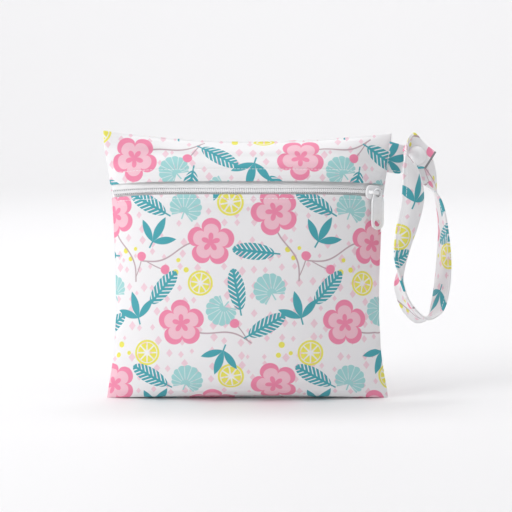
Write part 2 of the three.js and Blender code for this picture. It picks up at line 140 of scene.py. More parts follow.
def table_column(rows, column):
    """One column of a table, read against the first by a cubic that never overshoots."""
    at = np.array([row[0] for row in rows], float)
    values = np.array([row[column] for row in rows], float)
    steps = np.diff(at)
    slopes = np.diff(values) / steps
    product = slopes[:-1] * slopes[1:]
    same_way = product > 0
    between = np.where(same_way, 2 * product / np.where(same_way, slopes[:-1] + slopes[1:], 1), 0)
    tangents = np.concatenate((slopes[:1], between, slopes[-1:]))

    def read(value):
        inside = np.clip(value, at[0], at[-1])
        row = np.clip(np.searchsorted(at, inside) - 1, 0, len(at) - 2)
        t = (inside - at[row]) / steps[row]
        start = values[row] + tangents[row] * steps[row] * t
        end = values[row + 1] - tangents[row + 1] * steps[row] * (1 - t)
        blend = t * t * (3 - 2 * t)
        return start * (1 - blend) + end * blend

    return read


middle_depth = table_column(PROFILE, 1)
half_width = table_column(PROFILE, 2)


def smooth(value, low, high):
    t = np.clip((value - low) / (high - low), 0, 1)
    return t * t * (3 - 2 * t)


def top_edge(x):
    corner = np.where(x < 0, TOP_LEFT, TOP_RIGHT)
    return TOP_MIDDLE + (corner - TOP_MIDDLE) * np.abs(x / TOP_HALF) ** TOP_LIFT


def zip_line(x):
    return ZIP_HEIGHT - ZIP_DROP * np.abs(x / ZIP_END) ** ZIP_BOW


def slot_half(x):
    return SLOT_HALF - SLOT_NARROWING * (x / ZIP_END) ** 2


def pillow_depth(aside, share):
    """Half depth of the pillow, by share of the half width and of the height."""
    crown = (1 - np.abs(aside) ** CROWN_FLAT) ** CROWN_FULL
    return SEAM_HALF + (middle_depth(share) - SEAM_HALF) * crown


def dented(depth, x, z):
    """The front's depth with its soft dents pressed in."""
    pressed = np.zeros_like(x)
    for at_x, at_z, reach_x, reach_z, deep in DENTS:
        pressed += deep * np.exp(-2 * (((x - at_x) / reach_x) ** 2 + ((z - at_z) / reach_z) ** 2))
    return depth - pressed * np.clip((depth - SEAM_HALF) / SEAM_RIM, 0, 1)


def wave(x, z, long_x, long_z, start):
    return np.sin(x / long_x + z / long_z + start)


def slack(x, z, aside):
    """Small unevenness of soft cloth: slow swells, and short puckers drawn in by the side seams."""
    swell = sum(height * wave(x, z, *one) * wave(x, z, *other) for height, one, other in SWELLS)
    from_seam = (1 - np.abs(aside)) * TOP_HALF
    drift, drift_long = PUCKER_DRIFT
    pull = np.sin(z / PUCKER_LONG + drift * np.sin(z / drift_long) + np.sign(x))
    pucker = PUCKER * pull * np.exp(-from_seam / PUCKER_REACH) * smooth(from_seam, 0, PUCKER_RIM)
    return swell * smooth(from_seam, 0, SWELL_RIM) + pucker


def hem_line(x, side):
    """Height of the folded edge of the cloth above the zip (side 1) or below it (side -1)."""
    over = HEM_OVER * (1 - HEM_FALL * (x / ZIP_END) ** 2)
    return zip_line(x) + (HEM_OPEN + slot_half(x) if side > 0 else over - slot_half(x))


def slot_share(aside, side):
    """Share of the height where each column starts to roll over its hem."""
    share = np.full_like(aside, ZIP_HEIGHT / TOP_RIGHT)
    for _ in range(SETTLE_ROUNDS):
        x = aside * (half_width(share) - LIP)
        share = (hem_line(x, side) + side * HEM_ROLL) / (top_edge(x) - LIP)
    return share


def cuff(x, z, aside):
    """The cloth stands out over the zip tapes, and is drawn in along the rows that hold them."""
    above = np.interp(z - hem_line(x, 1), *np.transpose(CUFF_ABOVE))
    below = np.interp(hem_line(x, -1) - z, *np.transpose(CUFF_BELOW))
    return np.where(z > zip_line(x), above, below) * smooth(1 - np.abs(aside), 0, CUFF_FADE)


def pillow_face(aside, share, side):
    """Depth of the front (side -1) or the back (side 1) with its dents, puckers and cuffs."""
    x = aside * (half_width(share) - LIP)
    z = share * (top_edge(x) - LIP)
    depth = pillow_depth(aside, share)
    if side < 0:
        depth = dented(depth, x, z) + cuff(x, z, aside)
    return depth + slack(x, z, aside) * smooth(share, 0, FOOT_FADE) * smooth(1 - share, 0, TOP_FADE)


def pillow_points(aside, share, side):
    """Points of the front or of the back, in millimetres."""
    aside = np.broadcast_to(aside, share.shape)
    x = aside * (half_width(share) - LIP)
    z = share * (top_edge(x) - LIP)
    return np.stack((x, side * pillow_face(aside, share, side), z), axis=-1)


def front_y(x, z):
    """The cloth's front face at a place."""
    share = z / (top_edge(x) - LIP)
    aside = np.clip(x / (half_width(share) - LIP), -1, 1)
    return -pillow_face(aside, share, -1)


def hem_rows(edge_row, side):
    """Rows that roll over the edge by the zip and run back behind the cloth."""
    rows = []
    x, _, z = edge_row.T
    for turned in np.linspace(HEM_TURN, 0, HEM_STEPS):
        at = z + side * turned
        rows.append(np.stack((x, front_y(x, at) + 2 * HEM_ROLL, at), axis=-1))
    for step in range(1, HEM_STEPS):
        angle = math.pi * (1 - step / HEM_STEPS)
        roll = np.array((0, 1 - math.cos(angle), -side * math.sin(angle)))
        rows.append(edge_row + HEM_ROLL * roll)
    return np.array(rows)


def arc_lengths(points, axis):
    """Length along the cloth from the first point of each row or column."""
    steps = np.linalg.norm(np.diff(points, axis=axis), axis=-1)
    first = np.zeros_like(np.take(steps, [0], axis=axis))
    return np.concatenate((first, np.cumsum(steps, axis=axis)), axis=axis)


def grid_faces(rows, columns):
    corner = np.arange(rows * columns).reshape(rows, columns)
    quads = (corner[:-1, :-1], corner[:-1, 1:], corner[1:, 1:], corner[1:, :-1])
    return np.stack(quads, axis=-1).reshape(-1, 4)


def face_outwards(mesh, weld=0):
    """Merge points that lie within a distance in millimetres, and turn every face outwards."""
    shape = bmesh.new()
    shape.from_mesh(mesh)
    if weld:
        bmesh.ops.remove_doubles(shape, verts=shape.verts, dist=weld * MM)
    bmesh.ops.recalc_face_normals(shape, faces=shape.faces)
    shape.to_mesh(mesh)
    shape.free()


def mesh_object(name, points, faces, uvs=None):
    """A smooth mesh from points in millimetres, facing outwards, with its flat pattern as UV."""
    mesh = bpy.data.meshes.new(name)
    corners = faces.tolist() if isinstance(faces, np.ndarray) else faces
    mesh.from_pydata((np.asarray(points) * MM).tolist(), [], corners)
    if uvs is not None:
        loops = np.empty(len(mesh.loops), dtype=np.int32)
        mesh.loops.foreach_get("vertex_index", loops)
        layer = mesh.uv_layers.new(name=UV_NAME)
        layer.data.foreach_set("uv", np.asarray(uvs, dtype=np.float32)[loops].ravel())
    face_outwards(mesh)
    mesh.shade_smooth()
    made = bpy.data.objects.new(name, mesh)
    bpy.context.scene.collection.objects.link(made)
    return made


def make_plain(piece):
    """Turn what a piece's modifiers make into its own plain mesh."""
    graph = bpy.context.evaluated_depsgraph_get()
    mesh = bpy.data.meshes.new_from_object(piece.evaluated_get(graph))
    piece.modifiers.clear()
    piece.data = mesh
    mesh.name = piece.name


def thicken(piece, thickness):
    wall = piece.modifiers.new("wall", "SOLIDIFY")
    wall.thickness = thickness * MM
    wall.offset = -1
    wall.material_offset = len(piece.data.materials) - 1  # the inside takes the last finish
    make_plain(piece)


def groove_at(points):
    """Half gap between two sewn edges: it opens where the strap comes out of the right side."""
    past_edge = STRAP_ROOT_HALF + ROOT_CLEAR - np.abs(points[:, 2] - STRAP_ROOT_Z)
    at_right_seam = points[:, 0] > TOP_HALF - ROOT_REACH
    return GROOVE + STRAP_ROOT_OPEN * smooth(past_edge, 0, ROOT_EASE) * at_right_seam


def sewn_panel(name, rows, hem_count, pattern_at):
    """A cloth panel from rows of points: rolled lips turned in along its sides and its last row."""
    count, columns = rows.shape[:2]
    middle = columns // 2
    across = arc_lengths(rows, 1)
    along = arc_lengths(rows, 0)
    flat = np.stack((across - across[:, middle : middle + 1], -along), axis=-1) + np.array(pattern_at)
    left = [(row, 0) for row in range(hem_count, count)]
    last = [(count - 1, column) for column in range(1, columns)]
    right = [(row, columns - 1) for row in range(count - 2, hem_count - 1, -1)]
    edge = np.array(left + last + right)
    outward = np.zeros((len(edge), 3))
    outward[:, 0] = (edge[:, 1] == columns - 1).astype(float) - (edge[:, 1] == 0)
    outward[:, 2] = edge[:, 0] == count - 1
    rim = rows[edge[:, 0], edge[:, 1]]
    rim_flat = flat[edge[:, 0], edge[:, 1]]
    closed = groove_at(rim) / SEAM_HALF
    points = [rows.reshape(-1, 3)]
    uvs = [flat.reshape(-1, 2)]
    rings = [edge[:, 0] * columns + edge[:, 1]]
    turns = [(LIP * math.sin(a), math.cos(a)) for a in np.linspace(0, math.pi / 2, LIP_STEPS + 1)[1:]]
    turns.append((LIP - ALLOWANCE, 0))
    size = rows.shape[0] * rows.shape[1]
    for ring, (out, part) in enumerate(turns):
        turned = rim + outward * out
        turned[:, 1] = rim[:, 1] * (closed + (1 - closed) * part)
        if out < 0:
            turned[:, 2] = np.maximum(turned[:, 2], TURNED_IN)
        points.append(turned)
        uvs.append(rim_flat + outward[:, ::2] * (ring + 1) * LIP_FLAT)
        rings.append(np.arange(size + ring * len(edge), size + (ring + 1) * len(edge)))
    strips = [np.stack((a[:-1], a[1:], b[1:], b[:-1]), axis=-1) for a, b in zip(rings, rings[1:])]
    faces = np.concatenate([grid_faces(count, columns), *strips])
    return mesh_object(name, np.concatenate(points), faces, np.concatenate(uvs))


def eased_steps(count):
    """Shares from 0 to 1 that lie closer together towards both ends."""
    return (1 - np.cos(np.linspace(0, math.pi, count + 1))) / 2


asides = np.sin(np.linspace(-0.5, 0.5, COLUMNS + 1) * math.pi)
front_share = slot_share(asides, -1)[None, :] * (1 - eased_steps(FRONT_ROWS)[:, None])
front_rows = pillow_points(asides, front_share, -1)
under = np.linspace(-1, 1, BASE_ROWS + 1)[1:-1]
base_rows = np.repeat(front_rows[-1:], len(under), axis=0)
base_rows[:, :, 1] *= -under[:, None]
back_share = np.repeat(eased_steps(BACK_ROWS)[:, None], COLUMNS + 1, axis=1)
back_rows = pillow_points(asides, back_share, 1)
lift = BASE_LIFT * (1 - asides**2)
front_rows[:, :, 2] += lift * (1 - smooth(front_share, 0, LIFT_FADE))
base_rows[:, :, 2] += lift * smooth(-under, 0, 1)[:, None]
hem = hem_rows(front_rows[0], -1)
body_rows = np.concatenate((hem, front_rows, base_rows, back_rows))
body_panel = sewn_panel("body_panel_cloth", body_rows, len(hem), (0, 0))

# Print of the cloth: tossed blossoms, ferns, three-leaf sprigs, fan leaves, citrus slices and berries
# on white, drawn as distances in millimetres on the cloth's flat pattern and repeated as a tile.
TILE = (110, 116)
WHITE = (0.87, 0.862, 0.87)
SPECK = (0.86, 0.62, 0.69)
PINK = (0.87, 0.235, 0.39)
PALE_PINK = (0.9, 0.53, 0.62)
TEAL = (0.033, 0.36, 0.42)
AQUA = (0.34, 0.66, 0.66)
YELLOW = (0.83, 0.78, 0.09)
STALK = (0.5, 0.36, 0.4)
SPECK_PITCH = 9.5  # the small lozenges stand about this far apart
SPECK_SCATTER = 0.7
SPECK_SIZE = 1.3  # least half width, and as much again on the largest
SPECK_TALL = 0.8  # half width by half height
KNIT_PAINTED_SHADE_GREY = (0.5, 0.48, 0.5)  # painted shade between the knit's ridges
KNIT_SHADE = 0.12
KNIT_PITCH = 0.7
KNIT_SLANT = 0.5
KNIT_VALLEY = (-0.8, 0.3)  # the painted shade is full at the first height and fades out at the second
KNIT_BUMP = (0.25, 0.05)  # strength and height of the relief
FILM_LIGHT = (0.88, 0.88, 0.885)  # the waterproof film inside
FILM_SHADE = (0.8, 0.8, 0.81)
FILM_MOTTLE = 90
EDGE_BLUR = 0.16  # half width of a printed edge
CHART = (  # motif, x, y, turn in degrees, size
    ("bloom", 18, 100, 20, 1.2),
    ("bloom", 86, 80, -75, 1.2),
    ("bloom", 66, 26, 75, 1.2),
    ("fern", 44, 106, 60, 1.15),
    ("fern", 4, 74, 84, 1.15),
    ("fern", 54, 50, -40, 1.15),
    ("fern", 103, 49, 10, 1.15),
    ("fern", 13, 25, -60, 1.15),
    ("sprig", 50, 86, -30, 1.1),
    ("sprig", 34, 36, 15, 1.1),
    ("sprig", 92, 2, 160, 1.05),
    ("fan", 70, 104, -20, 1.1),
    ("fan", 14, 50, 30, 1.1),
    ("fan", 92, 34, 140, 1.05),
    ("slice", 99, 106, 10, 1.1),
    ("slice", 79, 53, 35, 1.05),
    ("slice", 42, 6, 0, 1.1),
    ("berries", 24, 8, 20, 1.1),
    ("berries", 65, 63, 140, 1.1),
    ("berries", 30, 74, 70, 1.0),
)


class Sheet:
    """Nodes of one tree, added one after another."""

    def __init__(self, tree):
        self.tree = tree

    def add(self, kind, *inputs, **settings):
        made = self.tree.nodes.new(kind)
        for name, value in settings.items():
            setattr(made, name, value)
        for socket, value in zip(made.inputs, inputs):
            if isinstance(value, bpy.types.NodeSocket):
                self.tree.links.new(value, socket)
            elif value is not None:
                socket.default_value = value
        return made

    def maths(self, operation, *inputs):
        return self.add("ShaderNodeMath", *inputs, operation=operation).outputs[0]

    def vector(self, operation, *inputs):
        return self.add("ShaderNodeVectorMath", *inputs, operation=operation).outputs[0]

    def length(self, vector):
        return self.add("ShaderNodeVectorMath", vector, operation="LENGTH").outputs[1]

    def axes(self, vector):
        return self.add("ShaderNodeSeparateXYZ", vector).outputs[:2]

    def joined(self, x, y):
        return self.add("ShaderNodeCombineXYZ", x, y).outputs[0]

    def turned(self, vector, angle):
        turn = self.add("ShaderNodeVectorRotate", vector, rotation_type="Z_AXIS")
        turn.inputs["Angle"].default_value = angle
        return turn.outputs[0]

    def inside(self, distance):
        """1 where a signed distance is below zero, with a printed edge's slight blur."""
        return self.add("ShaderNodeMapRange", distance, -EDGE_BLUR, EDGE_BLUR, 1.0, 0.0).outputs[0]

    def within(self, value, middle, half):
        """Distance outside a band of a number."""
        away = self.maths("ABSOLUTE", self.maths("SUBTRACT", value, middle))
        return self.maths("SUBTRACT", away, half)

    def ground(self, mask, below, colour):
        """A colour laid over what is below it."""
        mix = self.add("ShaderNodeMix", data_type="RGBA")
        self.tree.links.new(mask, mix.inputs["Factor"])
        for socket, value in ((mix.inputs[6], below), (mix.inputs[7], colour)):
            if isinstance(value, bpy.types.NodeSocket):
                self.tree.links.new(value, socket)
            else:
                socket.default_value = (*value, 1)
        return mix.outputs[2]


def new_group(name, inputs, outputs):
    """An empty shader group with named sockets, its drawing sheet and its two ends."""
    group = bpy.data.node_groups.new(name, "ShaderNodeTree")
    for way, sockets in (("INPUT", inputs), ("OUTPUT", outputs)):
        for label, kind in sockets:
            group.interface.new_socket(label, in_out=way, socket_type="NodeSocket" + kind)
    sheet = Sheet(group)
    return group, sheet, sheet.add("NodeGroupInput").outputs, sheet.add("NodeGroupOutput").inputs


def motif_group(name, draw, masks):
    """A motif drawn about its own centre, in millimetres, as masks for its colours."""
    group, sheet, given, result = new_group(name, [("Place", "Vector")], [(m, "Float") for m in masks])
    for socket, mask in zip(result, draw(sheet, given["Place"])):
        sheet.tree.links.new(mask, socket)
    return group


BLOOM_PETALS = 5
PETAL_NOTCH = 8.0  # radius between two petals
PETAL_SWELL = 5.2  # a petal reaches this far past it
PALE_SHARE = 0.76  # share of the blossom's radius that is pale
HEART_RADIUS = 1.6
HEART_RAY = 3.6  # the heart's rays reach this far past it
STALK_SWAY = 2.4  # the stalk swings this far to each side
SWAY_RATE = 0.16  # radians of its swing to a millimetre
STALK_HALF = 0.42  # half width of a drawn stalk
STALK_SPAN = (-25.0, 15.5)  # middle and half length
SHOOT_HALF = 0.4
SHOOT_SLANT = (0.62, 23.6)  # slope, and distance from the stalk at the blossom's middle
SHOOT_SPAN = (-34.5, 3.6)
BUD_AT = (5.6, -28.6)
BUD_RADIUS = 2.6


def draw_bloom(s, place):
    """A five-petal blossom with a pale face and a deeper heart, on a thin bent stalk with a bud."""
    x, y = s.axes(place)
    radius = s.length(place)
    angle = s.maths("ARCTAN2", x, y)
    fold = s.maths("ABSOLUTE", s.maths("COSINE", s.maths("MULTIPLY", angle, BLOOM_PETALS / 2)))
    reach = s.maths("MULTIPLY_ADD", s.maths("SQRT", fold), PETAL_SWELL, PETAL_NOTCH)
    petals = s.maths("SUBTRACT", radius, reach)
    pale = s.maths("MULTIPLY_ADD", reach, -PALE_SHARE, radius)
    heart = s.maths("SUBTRACT", radius, s.maths("MULTIPLY_ADD", fold, HEART_RAY, HEART_RADIUS))
    bend = s.maths("MULTIPLY", s.maths("SINE", s.maths("MULTIPLY", y, SWAY_RATE)), STALK_SWAY)
    from_stalk = s.maths("SUBTRACT", x, bend)
    stalk = s.maths("MAXIMUM", s.within(from_stalk, 0.0, STALK_HALF), s.within(y, *STALK_SPAN))
    slant = s.maths("MULTIPLY_ADD", y, *SHOOT_SLANT)
    shoot = s.maths("MAXIMUM", s.within(from_stalk, slant, SHOOT_HALF), s.within(y, *SHOOT_SPAN))
    stalks = s.maths("MINIMUM", stalk, shoot)
    from_bud = s.vector("SUBTRACT", s.joined(from_stalk, y), (*BUD_AT, 0))
    bud = s.maths("SUBTRACT", s.length(from_bud), BUD_RADIUS)
    face = s.maths("SUBTRACT", s.inside(pale), s.inside(heart))
    return s.inside(s.maths("MINIMUM", petals, bud)), face, s.inside(stalks)


FERN_HALF = 12.0  # half length of the blade
FERN_SLIM = 2.5  # its length by its width
LEAFLET_SLANT = 0.9
LEAFLET_RATE = 0.36  # leaflets to a millimetre of the midrib
LEAFLET_GAP = 0.45  # half width of the gap between two leaflets
GAP_SLOPE = 3.0
MIDRIB_HALF = 0.7
FERN_STALK_HALF = 0.45
FERN_STALK = (-8.0, 7.4)  # middle and half length


def draw_fern(s, place):
    """A fern leaf: slanted leaflets on both sides of a midrib, with a short stalk."""
    x, y = s.axes(place)
    side = s.maths("ABSOLUTE", x)
    slim = s.joined(s.maths("MULTIPLY", x, FERN_SLIM), y)
    outline = s.maths("SUBTRACT", s.length(slim), FERN_HALF)
    step = s.maths("MULTIPLY", s.maths("MULTIPLY_ADD", side, -LEAFLET_SLANT, y), LEAFLET_RATE)
    gap = s.maths("MULTIPLY_ADD", s.maths("PINGPONG", step, 0.5), -GAP_SLOPE, LEAFLET_GAP)
    midrib = s.maths("SUBTRACT", side, MIDRIB_HALF)
    leaflets = s.maths("MAXIMUM", outline, s.maths("MINIMUM", gap, midrib))
    stalk = s.maths("MAXIMUM", s.maths("SUBTRACT", side, FERN_STALK_HALF), s.within(y, *FERN_STALK))
    return (s.inside(s.maths("MINIMUM", leaflets, stalk)),)


SPRIG_FOOT = 6.0  # the foot lies this far below the sprig's middle
SPRIG_LEAVES = (  # lean in radians, length
    (0.0, 17.0),
    (0.95, 15.0),
)
LEAF_FULL = 0.15  # half width of a leaf by its length
SPRIG_STALK_HALF = 0.5
SPRIG_STALK = (-7.5, 2.6)  # middle and half length


def draw_sprig(s, place):
    """Three pointed leaves that spread from one foot."""
    x, y = s.axes(place)
    folded = s.joined(s.maths("ABSOLUTE", x), s.maths("ADD", y, SPRIG_FOOT))
    leaves = []
    for lean, length in SPRIG_LEAVES:
        across, along = s.axes(s.turned(folded, lean))
        rest = s.maths("SUBTRACT", length, along)
        bulge = s.maths("MULTIPLY", s.maths("MULTIPLY", along, rest), LEAF_FULL * 4 / length)
        leaves.append(s.maths("SUBTRACT", s.maths("ABSOLUTE", across), bulge))
    foot = s.maths("MAXIMUM", s.within(x, 0.0, SPRIG_STALK_HALF), s.within(y, *SPRIG_STALK))
    return (s.inside(s.maths("MINIMUM", s.maths("MINIMUM", *leaves), foot)),)


FAN_FOOT = 4.0  # the foot lies this far below the leaf's middle
FAN_RIBS = 8  # ribs in half a turn
FAN_RADIUS = 8.6
FAN_TALL = 3.2  # it reaches this much further straight up
FAN_SCALLOP = 0.8
FAN_SPREAD = 2.15  # the blade opens to this angle on each side
FAN_SIDE = 4.0  # millimetres to a radian past it
RIB_HALF = 0.2
RIB_FROM = 3.0  # the ribs start at this radius
RIB_PALE = 0.72  # share of the colour that a rib leaves out
FAN_STALK = (-2.0, 2.6)  # middle and half length


def draw_fan(s, place):
    """A round fan leaf with pale ribs that spread from its foot."""
    x, y = s.axes(place)
    low = s.maths("ADD", y, FAN_FOOT)
    radius = s.length(s.joined(x, low))
    angle = s.maths("ABSOLUTE", s.maths("ARCTAN2", x, low))
    fold = s.maths("ABSOLUTE", s.maths("SINE", s.maths("MULTIPLY", angle, FAN_RIBS)))
    reach = s.maths("MULTIPLY_ADD", s.maths("COSINE", angle), FAN_TALL, FAN_RADIUS)
    outline = s.maths("SUBTRACT", radius, s.maths("MULTIPLY_ADD", fold, FAN_SCALLOP, reach))
    leaf = s.maths("MAXIMUM", outline, s.maths("MULTIPLY_ADD", angle, FAN_SIDE, -FAN_SIDE * FAN_SPREAD))
    from_rib = s.maths("MULTIPLY", fold, s.maths("MULTIPLY", radius, 1 / FAN_RIBS))
    outer_part = s.inside(s.maths("SUBTRACT", RIB_FROM, radius))
    ribs = s.maths("MULTIPLY", s.inside(s.maths("SUBTRACT", from_rib, RIB_HALF)), outer_part)
    stalk = s.maths("MAXIMUM", s.within(x, 0.0, STALK_HALF), s.within(low, *FAN_STALK))
    blade = s.maths("MULTIPLY", s.inside(leaf), s.maths("MULTIPLY_ADD", ribs, -RIB_PALE, 1.0))
    return (s.maths("MAXIMUM", blade, s.inside(stalk)),)


SLICE_WEDGES = 8
PULP_RADIUS = 6.1
PITH_HALF = 0.42  # half width of the white lines between the wedges
RIND = (7.3, 0.65)  # middle and half width


def draw_slice(s, place):
    """A citrus slice: a rind and eight wedges."""
    x, y = s.axes(place)
    radius = s.length(place)
    angle = s.maths("ARCTAN2", x, y)
    spoke = s.maths("ABSOLUTE", s.maths("SINE", s.maths("MULTIPLY", angle, SLICE_WEDGES / 2)))
    from_pith = s.maths("MULTIPLY", s.maths("MULTIPLY", spoke, radius), 2 / SLICE_WEDGES)
    wedge = s.maths("SUBTRACT", PITH_HALF, from_pith)
    pulp = s.maths("MAXIMUM", s.maths("SUBTRACT", radius, PULP_RADIUS), wedge)
    rind = s.within(radius, *RIND)
    return (s.inside(s.maths("MINIMUM", pulp, rind)),)


BERRIES = (  # x, y, radius
    (0.0, 3.6, 1.9),
    (-4.0, -1.8, 1.6),
    (3.4, -3.2, 1.3),
)


def draw_berries(s, place):
    """Three loose berries."""
    berries = []
    for x, y, radius in BERRIES:
        berries.append(s.maths("SUBTRACT", s.length(s.vector("SUBTRACT", place, (x, y, 0))), radius))
    return (s.inside(s.maths("MINIMUM", s.maths("MINIMUM", *berries[:2]), berries[2])),)


MOTIFS = {
    "bloom": motif_group("blossom", draw_bloom, ("Petals", "Face", "Stalk")),
    "fern": motif_group("fern leaf", draw_fern, ("Leaf",)),
    "sprig": motif_group("three-leaf sprig", draw_sprig, ("Leaf",)),
    "fan": motif_group("fan leaf", draw_fan, ("Leaf",)),
    "slice": motif_group("citrus slice", draw_slice, ("Slice",)),
    "berries": motif_group("berries", draw_berries, ("Berries",)),
}
PRINT_ORDER = (  # motif, mask, colour, laid over each other in this order
    ("berries", "Berries", YELLOW),
    ("slice", "Slice", YELLOW),
    ("bloom", "Stalk", STALK),
    ("fan", "Leaf", AQUA),
    ("sprig", "Leaf", TEAL),
    ("fern", "Leaf", TEAL),
    ("bloom", "Petals", PINK),
    ("bloom", "Face", PALE_PINK),
)


def tropical_print():
    """The whole print as a group: the flat pattern's millimetres in, the dyed colour out."""
    group, s, given, result = new_group("tropical print", [("Cloth", "Vector")], [("Colour", "Color")])
    cloth = given["Cloth"]
    masks = {}
    half = (TILE[0] / 2, TILE[1] / 2, 1)
    for motif, x, y, turn, size in CHART:
        away = s.vector("SUBTRACT", cloth, (x, y, 0))
        near = s.vector("WRAP", away, half, (-half[0], -half[1], -1))
        place = s.vector("SCALE", s.turned(near, -math.radians(turn)))
        place.node.inputs["Scale"].default_value = 1 / size
        drawn = s.add("ShaderNodeGroup", node_tree=MOTIFS[motif])
        group.links.new(place, drawn.inputs["Place"])
        for mask in drawn.outputs:
            key = (motif, mask.name)
            masks[key] = s.maths("MAXIMUM", masks[key], mask) if key in masks else mask
    cells = s.add("ShaderNodeTexVoronoi", cloth, voronoi_dimensions="2D")
    cells.inputs["Scale"].default_value = 1 / SPECK_PITCH
    cells.inputs["Randomness"].default_value = SPECK_SCATTER
    x, y = s.axes(s.vector("SUBTRACT", cloth, cells.outputs["Position"]))
    tall = s.maths("ABSOLUTE", s.maths("MULTIPLY", y, SPECK_TALL))
    lozenge = s.maths("ADD", s.maths("ABSOLUTE", x), tall)
    kind = s.add("ShaderNodeSeparateColor", cells.outputs["Color"]).outputs[0]
    size = s.maths("MULTIPLY_ADD", kind, SPECK_SIZE, SPECK_SIZE)
    speck = s.inside(s.maths("SUBTRACT", lozenge, size))
    colour = s.ground(speck, WHITE, SPECK)
    for motif, mask, dye in PRINT_ORDER:
        colour = s.ground(masks[motif, mask], colour, dye)
    group.links.new(colour, result["Colour"])
    return group


def weave_group():
    """Height of a knit or weave: two crossed families of fine ridges."""
    inputs = [("Cloth", "Vector"), ("Pitch", "Float"), ("Slant", "Float")]
    group, s, given, result = new_group("fine weave", inputs, [("Height", "Float")])
    ridges = s.vector("SCALE", given["Cloth"])
    group.links.new(s.maths("DIVIDE", 2 * math.pi, given["Pitch"]), ridges.node.inputs["Scale"])
    x, y = s.axes(ridges)
    lean = s.maths("MULTIPLY", given["Slant"], s.maths("PINGPONG", x, 2 * math.pi))
    wale = s.maths("SINE", x)
    course = s.maths("SINE", s.maths("ADD", y, lean))
    group.links.new(s.maths("MULTIPLY", s.maths("ADD", wale, course), 0.5), result["Height"])
    return group


def new_material(name, **sockets):
    """A material whose constant values sit on the shader's own sockets."""
    material = bpy.data.materials.new(name)
    material.use_nodes = True
    shader = material.node_tree.nodes["Principled BSDF"]
    for socket, value in sockets.items():
        shader.inputs[socket.replace("_", " ").title().replace("Ior", "IOR")].default_value = value
    return material, Sheet(material.node_tree), shader


WEAVE = weave_group()


def woven_height(s, pattern, pitch, slant):
    """Height of a knit or weave laid along a flat pattern."""
    weave = s.add("ShaderNodeGroup", node_tree=WEAVE)
    s.tree.links.new(pattern, weave.inputs["Cloth"])
    weave.inputs["Pitch"].default_value = pitch
    weave.inputs["Slant"].default_value = slant
    return weave.outputs["Height"]


def raise_surface(s, shader, height, strength, relief):
    """Fine relief of a surface, up to a height in millimetres."""
    raised = s.add("ShaderNodeBump")
    raised.inputs["Strength"].default_value = strength
    raised.inputs["Distance"].default_value = relief * MM
    s.tree.links.new(height, raised.inputs["Height"])
    s.tree.links.new(raised.outputs["Normal"], shader.inputs["Normal"])


def mottled(name, tone, other_tone, scale, **sockets):
    """A material of two near tones, clouded into each other."""
    material, s, shader = new_material(name, **sockets)
    clouds = s.add("ShaderNodeTexNoise", s.add("ShaderNodeTexCoord").outputs["Object"])
    clouds.inputs["Scale"].default_value = scale
    s.tree.links.new(s.ground(clouds.outputs["Fac"], tone, other_tone), shader.inputs["Base Color"])
    return material


printed_cloth, s, shader = new_material("printed_cloth", roughness=0.62, sheen_weight=0.2,
                                        sheen_roughness=0.4)
pattern = s.add("ShaderNodeUVMap", uv_map=UV_NAME).outputs[0]
dyed = s.add("ShaderNodeGroup", node_tree=tropical_print())
s.tree.links.new(pattern, dyed.inputs["Cloth"])
knit = woven_height(s, pattern, KNIT_PITCH, KNIT_SLANT)
# painted shade: the knit's valleys are darkened towards grey
between = s.add("ShaderNodeMapRange", knit, *KNIT_VALLEY, KNIT_SHADE, 0.0).outputs[0]
s.tree.links.new(s.ground(between, dyed.outputs["Colour"], KNIT_PAINTED_SHADE_GREY), shader.inputs["Base Color"])
raise_surface(s, shader, knit, *KNIT_BUMP)
inner_film = mottled("inner_film", FILM_LIGHT, FILM_SHADE, FILM_MOTTLE, roughness=0.32, coat_weight=0.15)
body_panel.data.materials.append(printed_cloth)
body_panel.data.materials.append(inner_film)
thicken(body_panel, CLOTH)
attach(body_panel, "pouch")
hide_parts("body_panel")

# Strip above the zip
# A shallow strip of the same printed cloth closes the front between the zip and the top edge. It is
# hemmed along the zip and sewn to the body panel along its top and sides.
UPPER_ROWS = 92
UPPER_PATTERN = (31, 47)  # its print is cut from another part of the cloth
lowest = slot_share(asides, 1)[None, :]
upper_rows = pillow_points(asides, lowest + (1 - lowest) * eased_steps(UPPER_ROWS)[:, None], -1)
hem = hem_rows(upper_rows[0], 1)
front_upper = sewn_panel("front_upper_cloth", np.concatenate((hem, upper_rows)), len(hem), UPPER_PATTERN)
front_upper.data.materials.append(printed_cloth)
front_upper.data.materials.append(inner_film)
thicken(front_upper, CLOTH)
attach(front_upper, "pouch")
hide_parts("front_upper_panel")

# Zip tapes
# Two woven polyester tapes, sewn behind the hems with their coil edges in the slot. They are white,
# with the fine slanted ribs of a herringbone weave, and grey is painted into the valleys between the
# ribs as shade.
TAPE = 0.7
TAPE_SINK = 1.9  # tape face below the cloth's outer face
TAPE_SWELL = 0.8  # the woven face stands out by this along the coils
SWELL_ENDS = {1: (0.15, 0.42), -1: (0.3, 0.7)}  # the swell fades out between these shares of a tape
TAPE_DIP = {1: 1.3, -1: 0.0}  # it falls back by this under the upper and the lower hem
DIP_FROM = (0.25, 0.6)  # shares of the tape over which it falls
DIP_ENDS = (62.0, 84.0)  # the dip fades out between these places
TAPE_BEHIND = 4.0  # how far a tape reaches behind the cloth
TAPE_TRIM = 5.0  # the tapes narrow to the slot this far before their ends
TAPE_TAPER = 3.0
TAPE_TUCK = 1.0  # the last stretch of each end runs on into the side seam
GAP = 0.3
COIL_REST = 0.1  # half gap between the meshed coils
COIL_SPREAD = 1.2  # half gap where the slider parts them
SLIDER_X = 82.1
SLIDER_SPREAD = 2.0
TAPE_COLUMNS = 180
TAPE_ROWS = 10
TAPE_WHITE = (0.96, 0.96, 0.962)
RIB_PAINTED_SHADE_AND_THREAD_GREY = (0.88, 0.88, 0.885)
TAPE_PITCH = 0.55
TAPE_SLANT = 1.0
TAPE_VALLEY = (-0.9, 0.2)  # the painted shade is full at the first height and fades out at the second
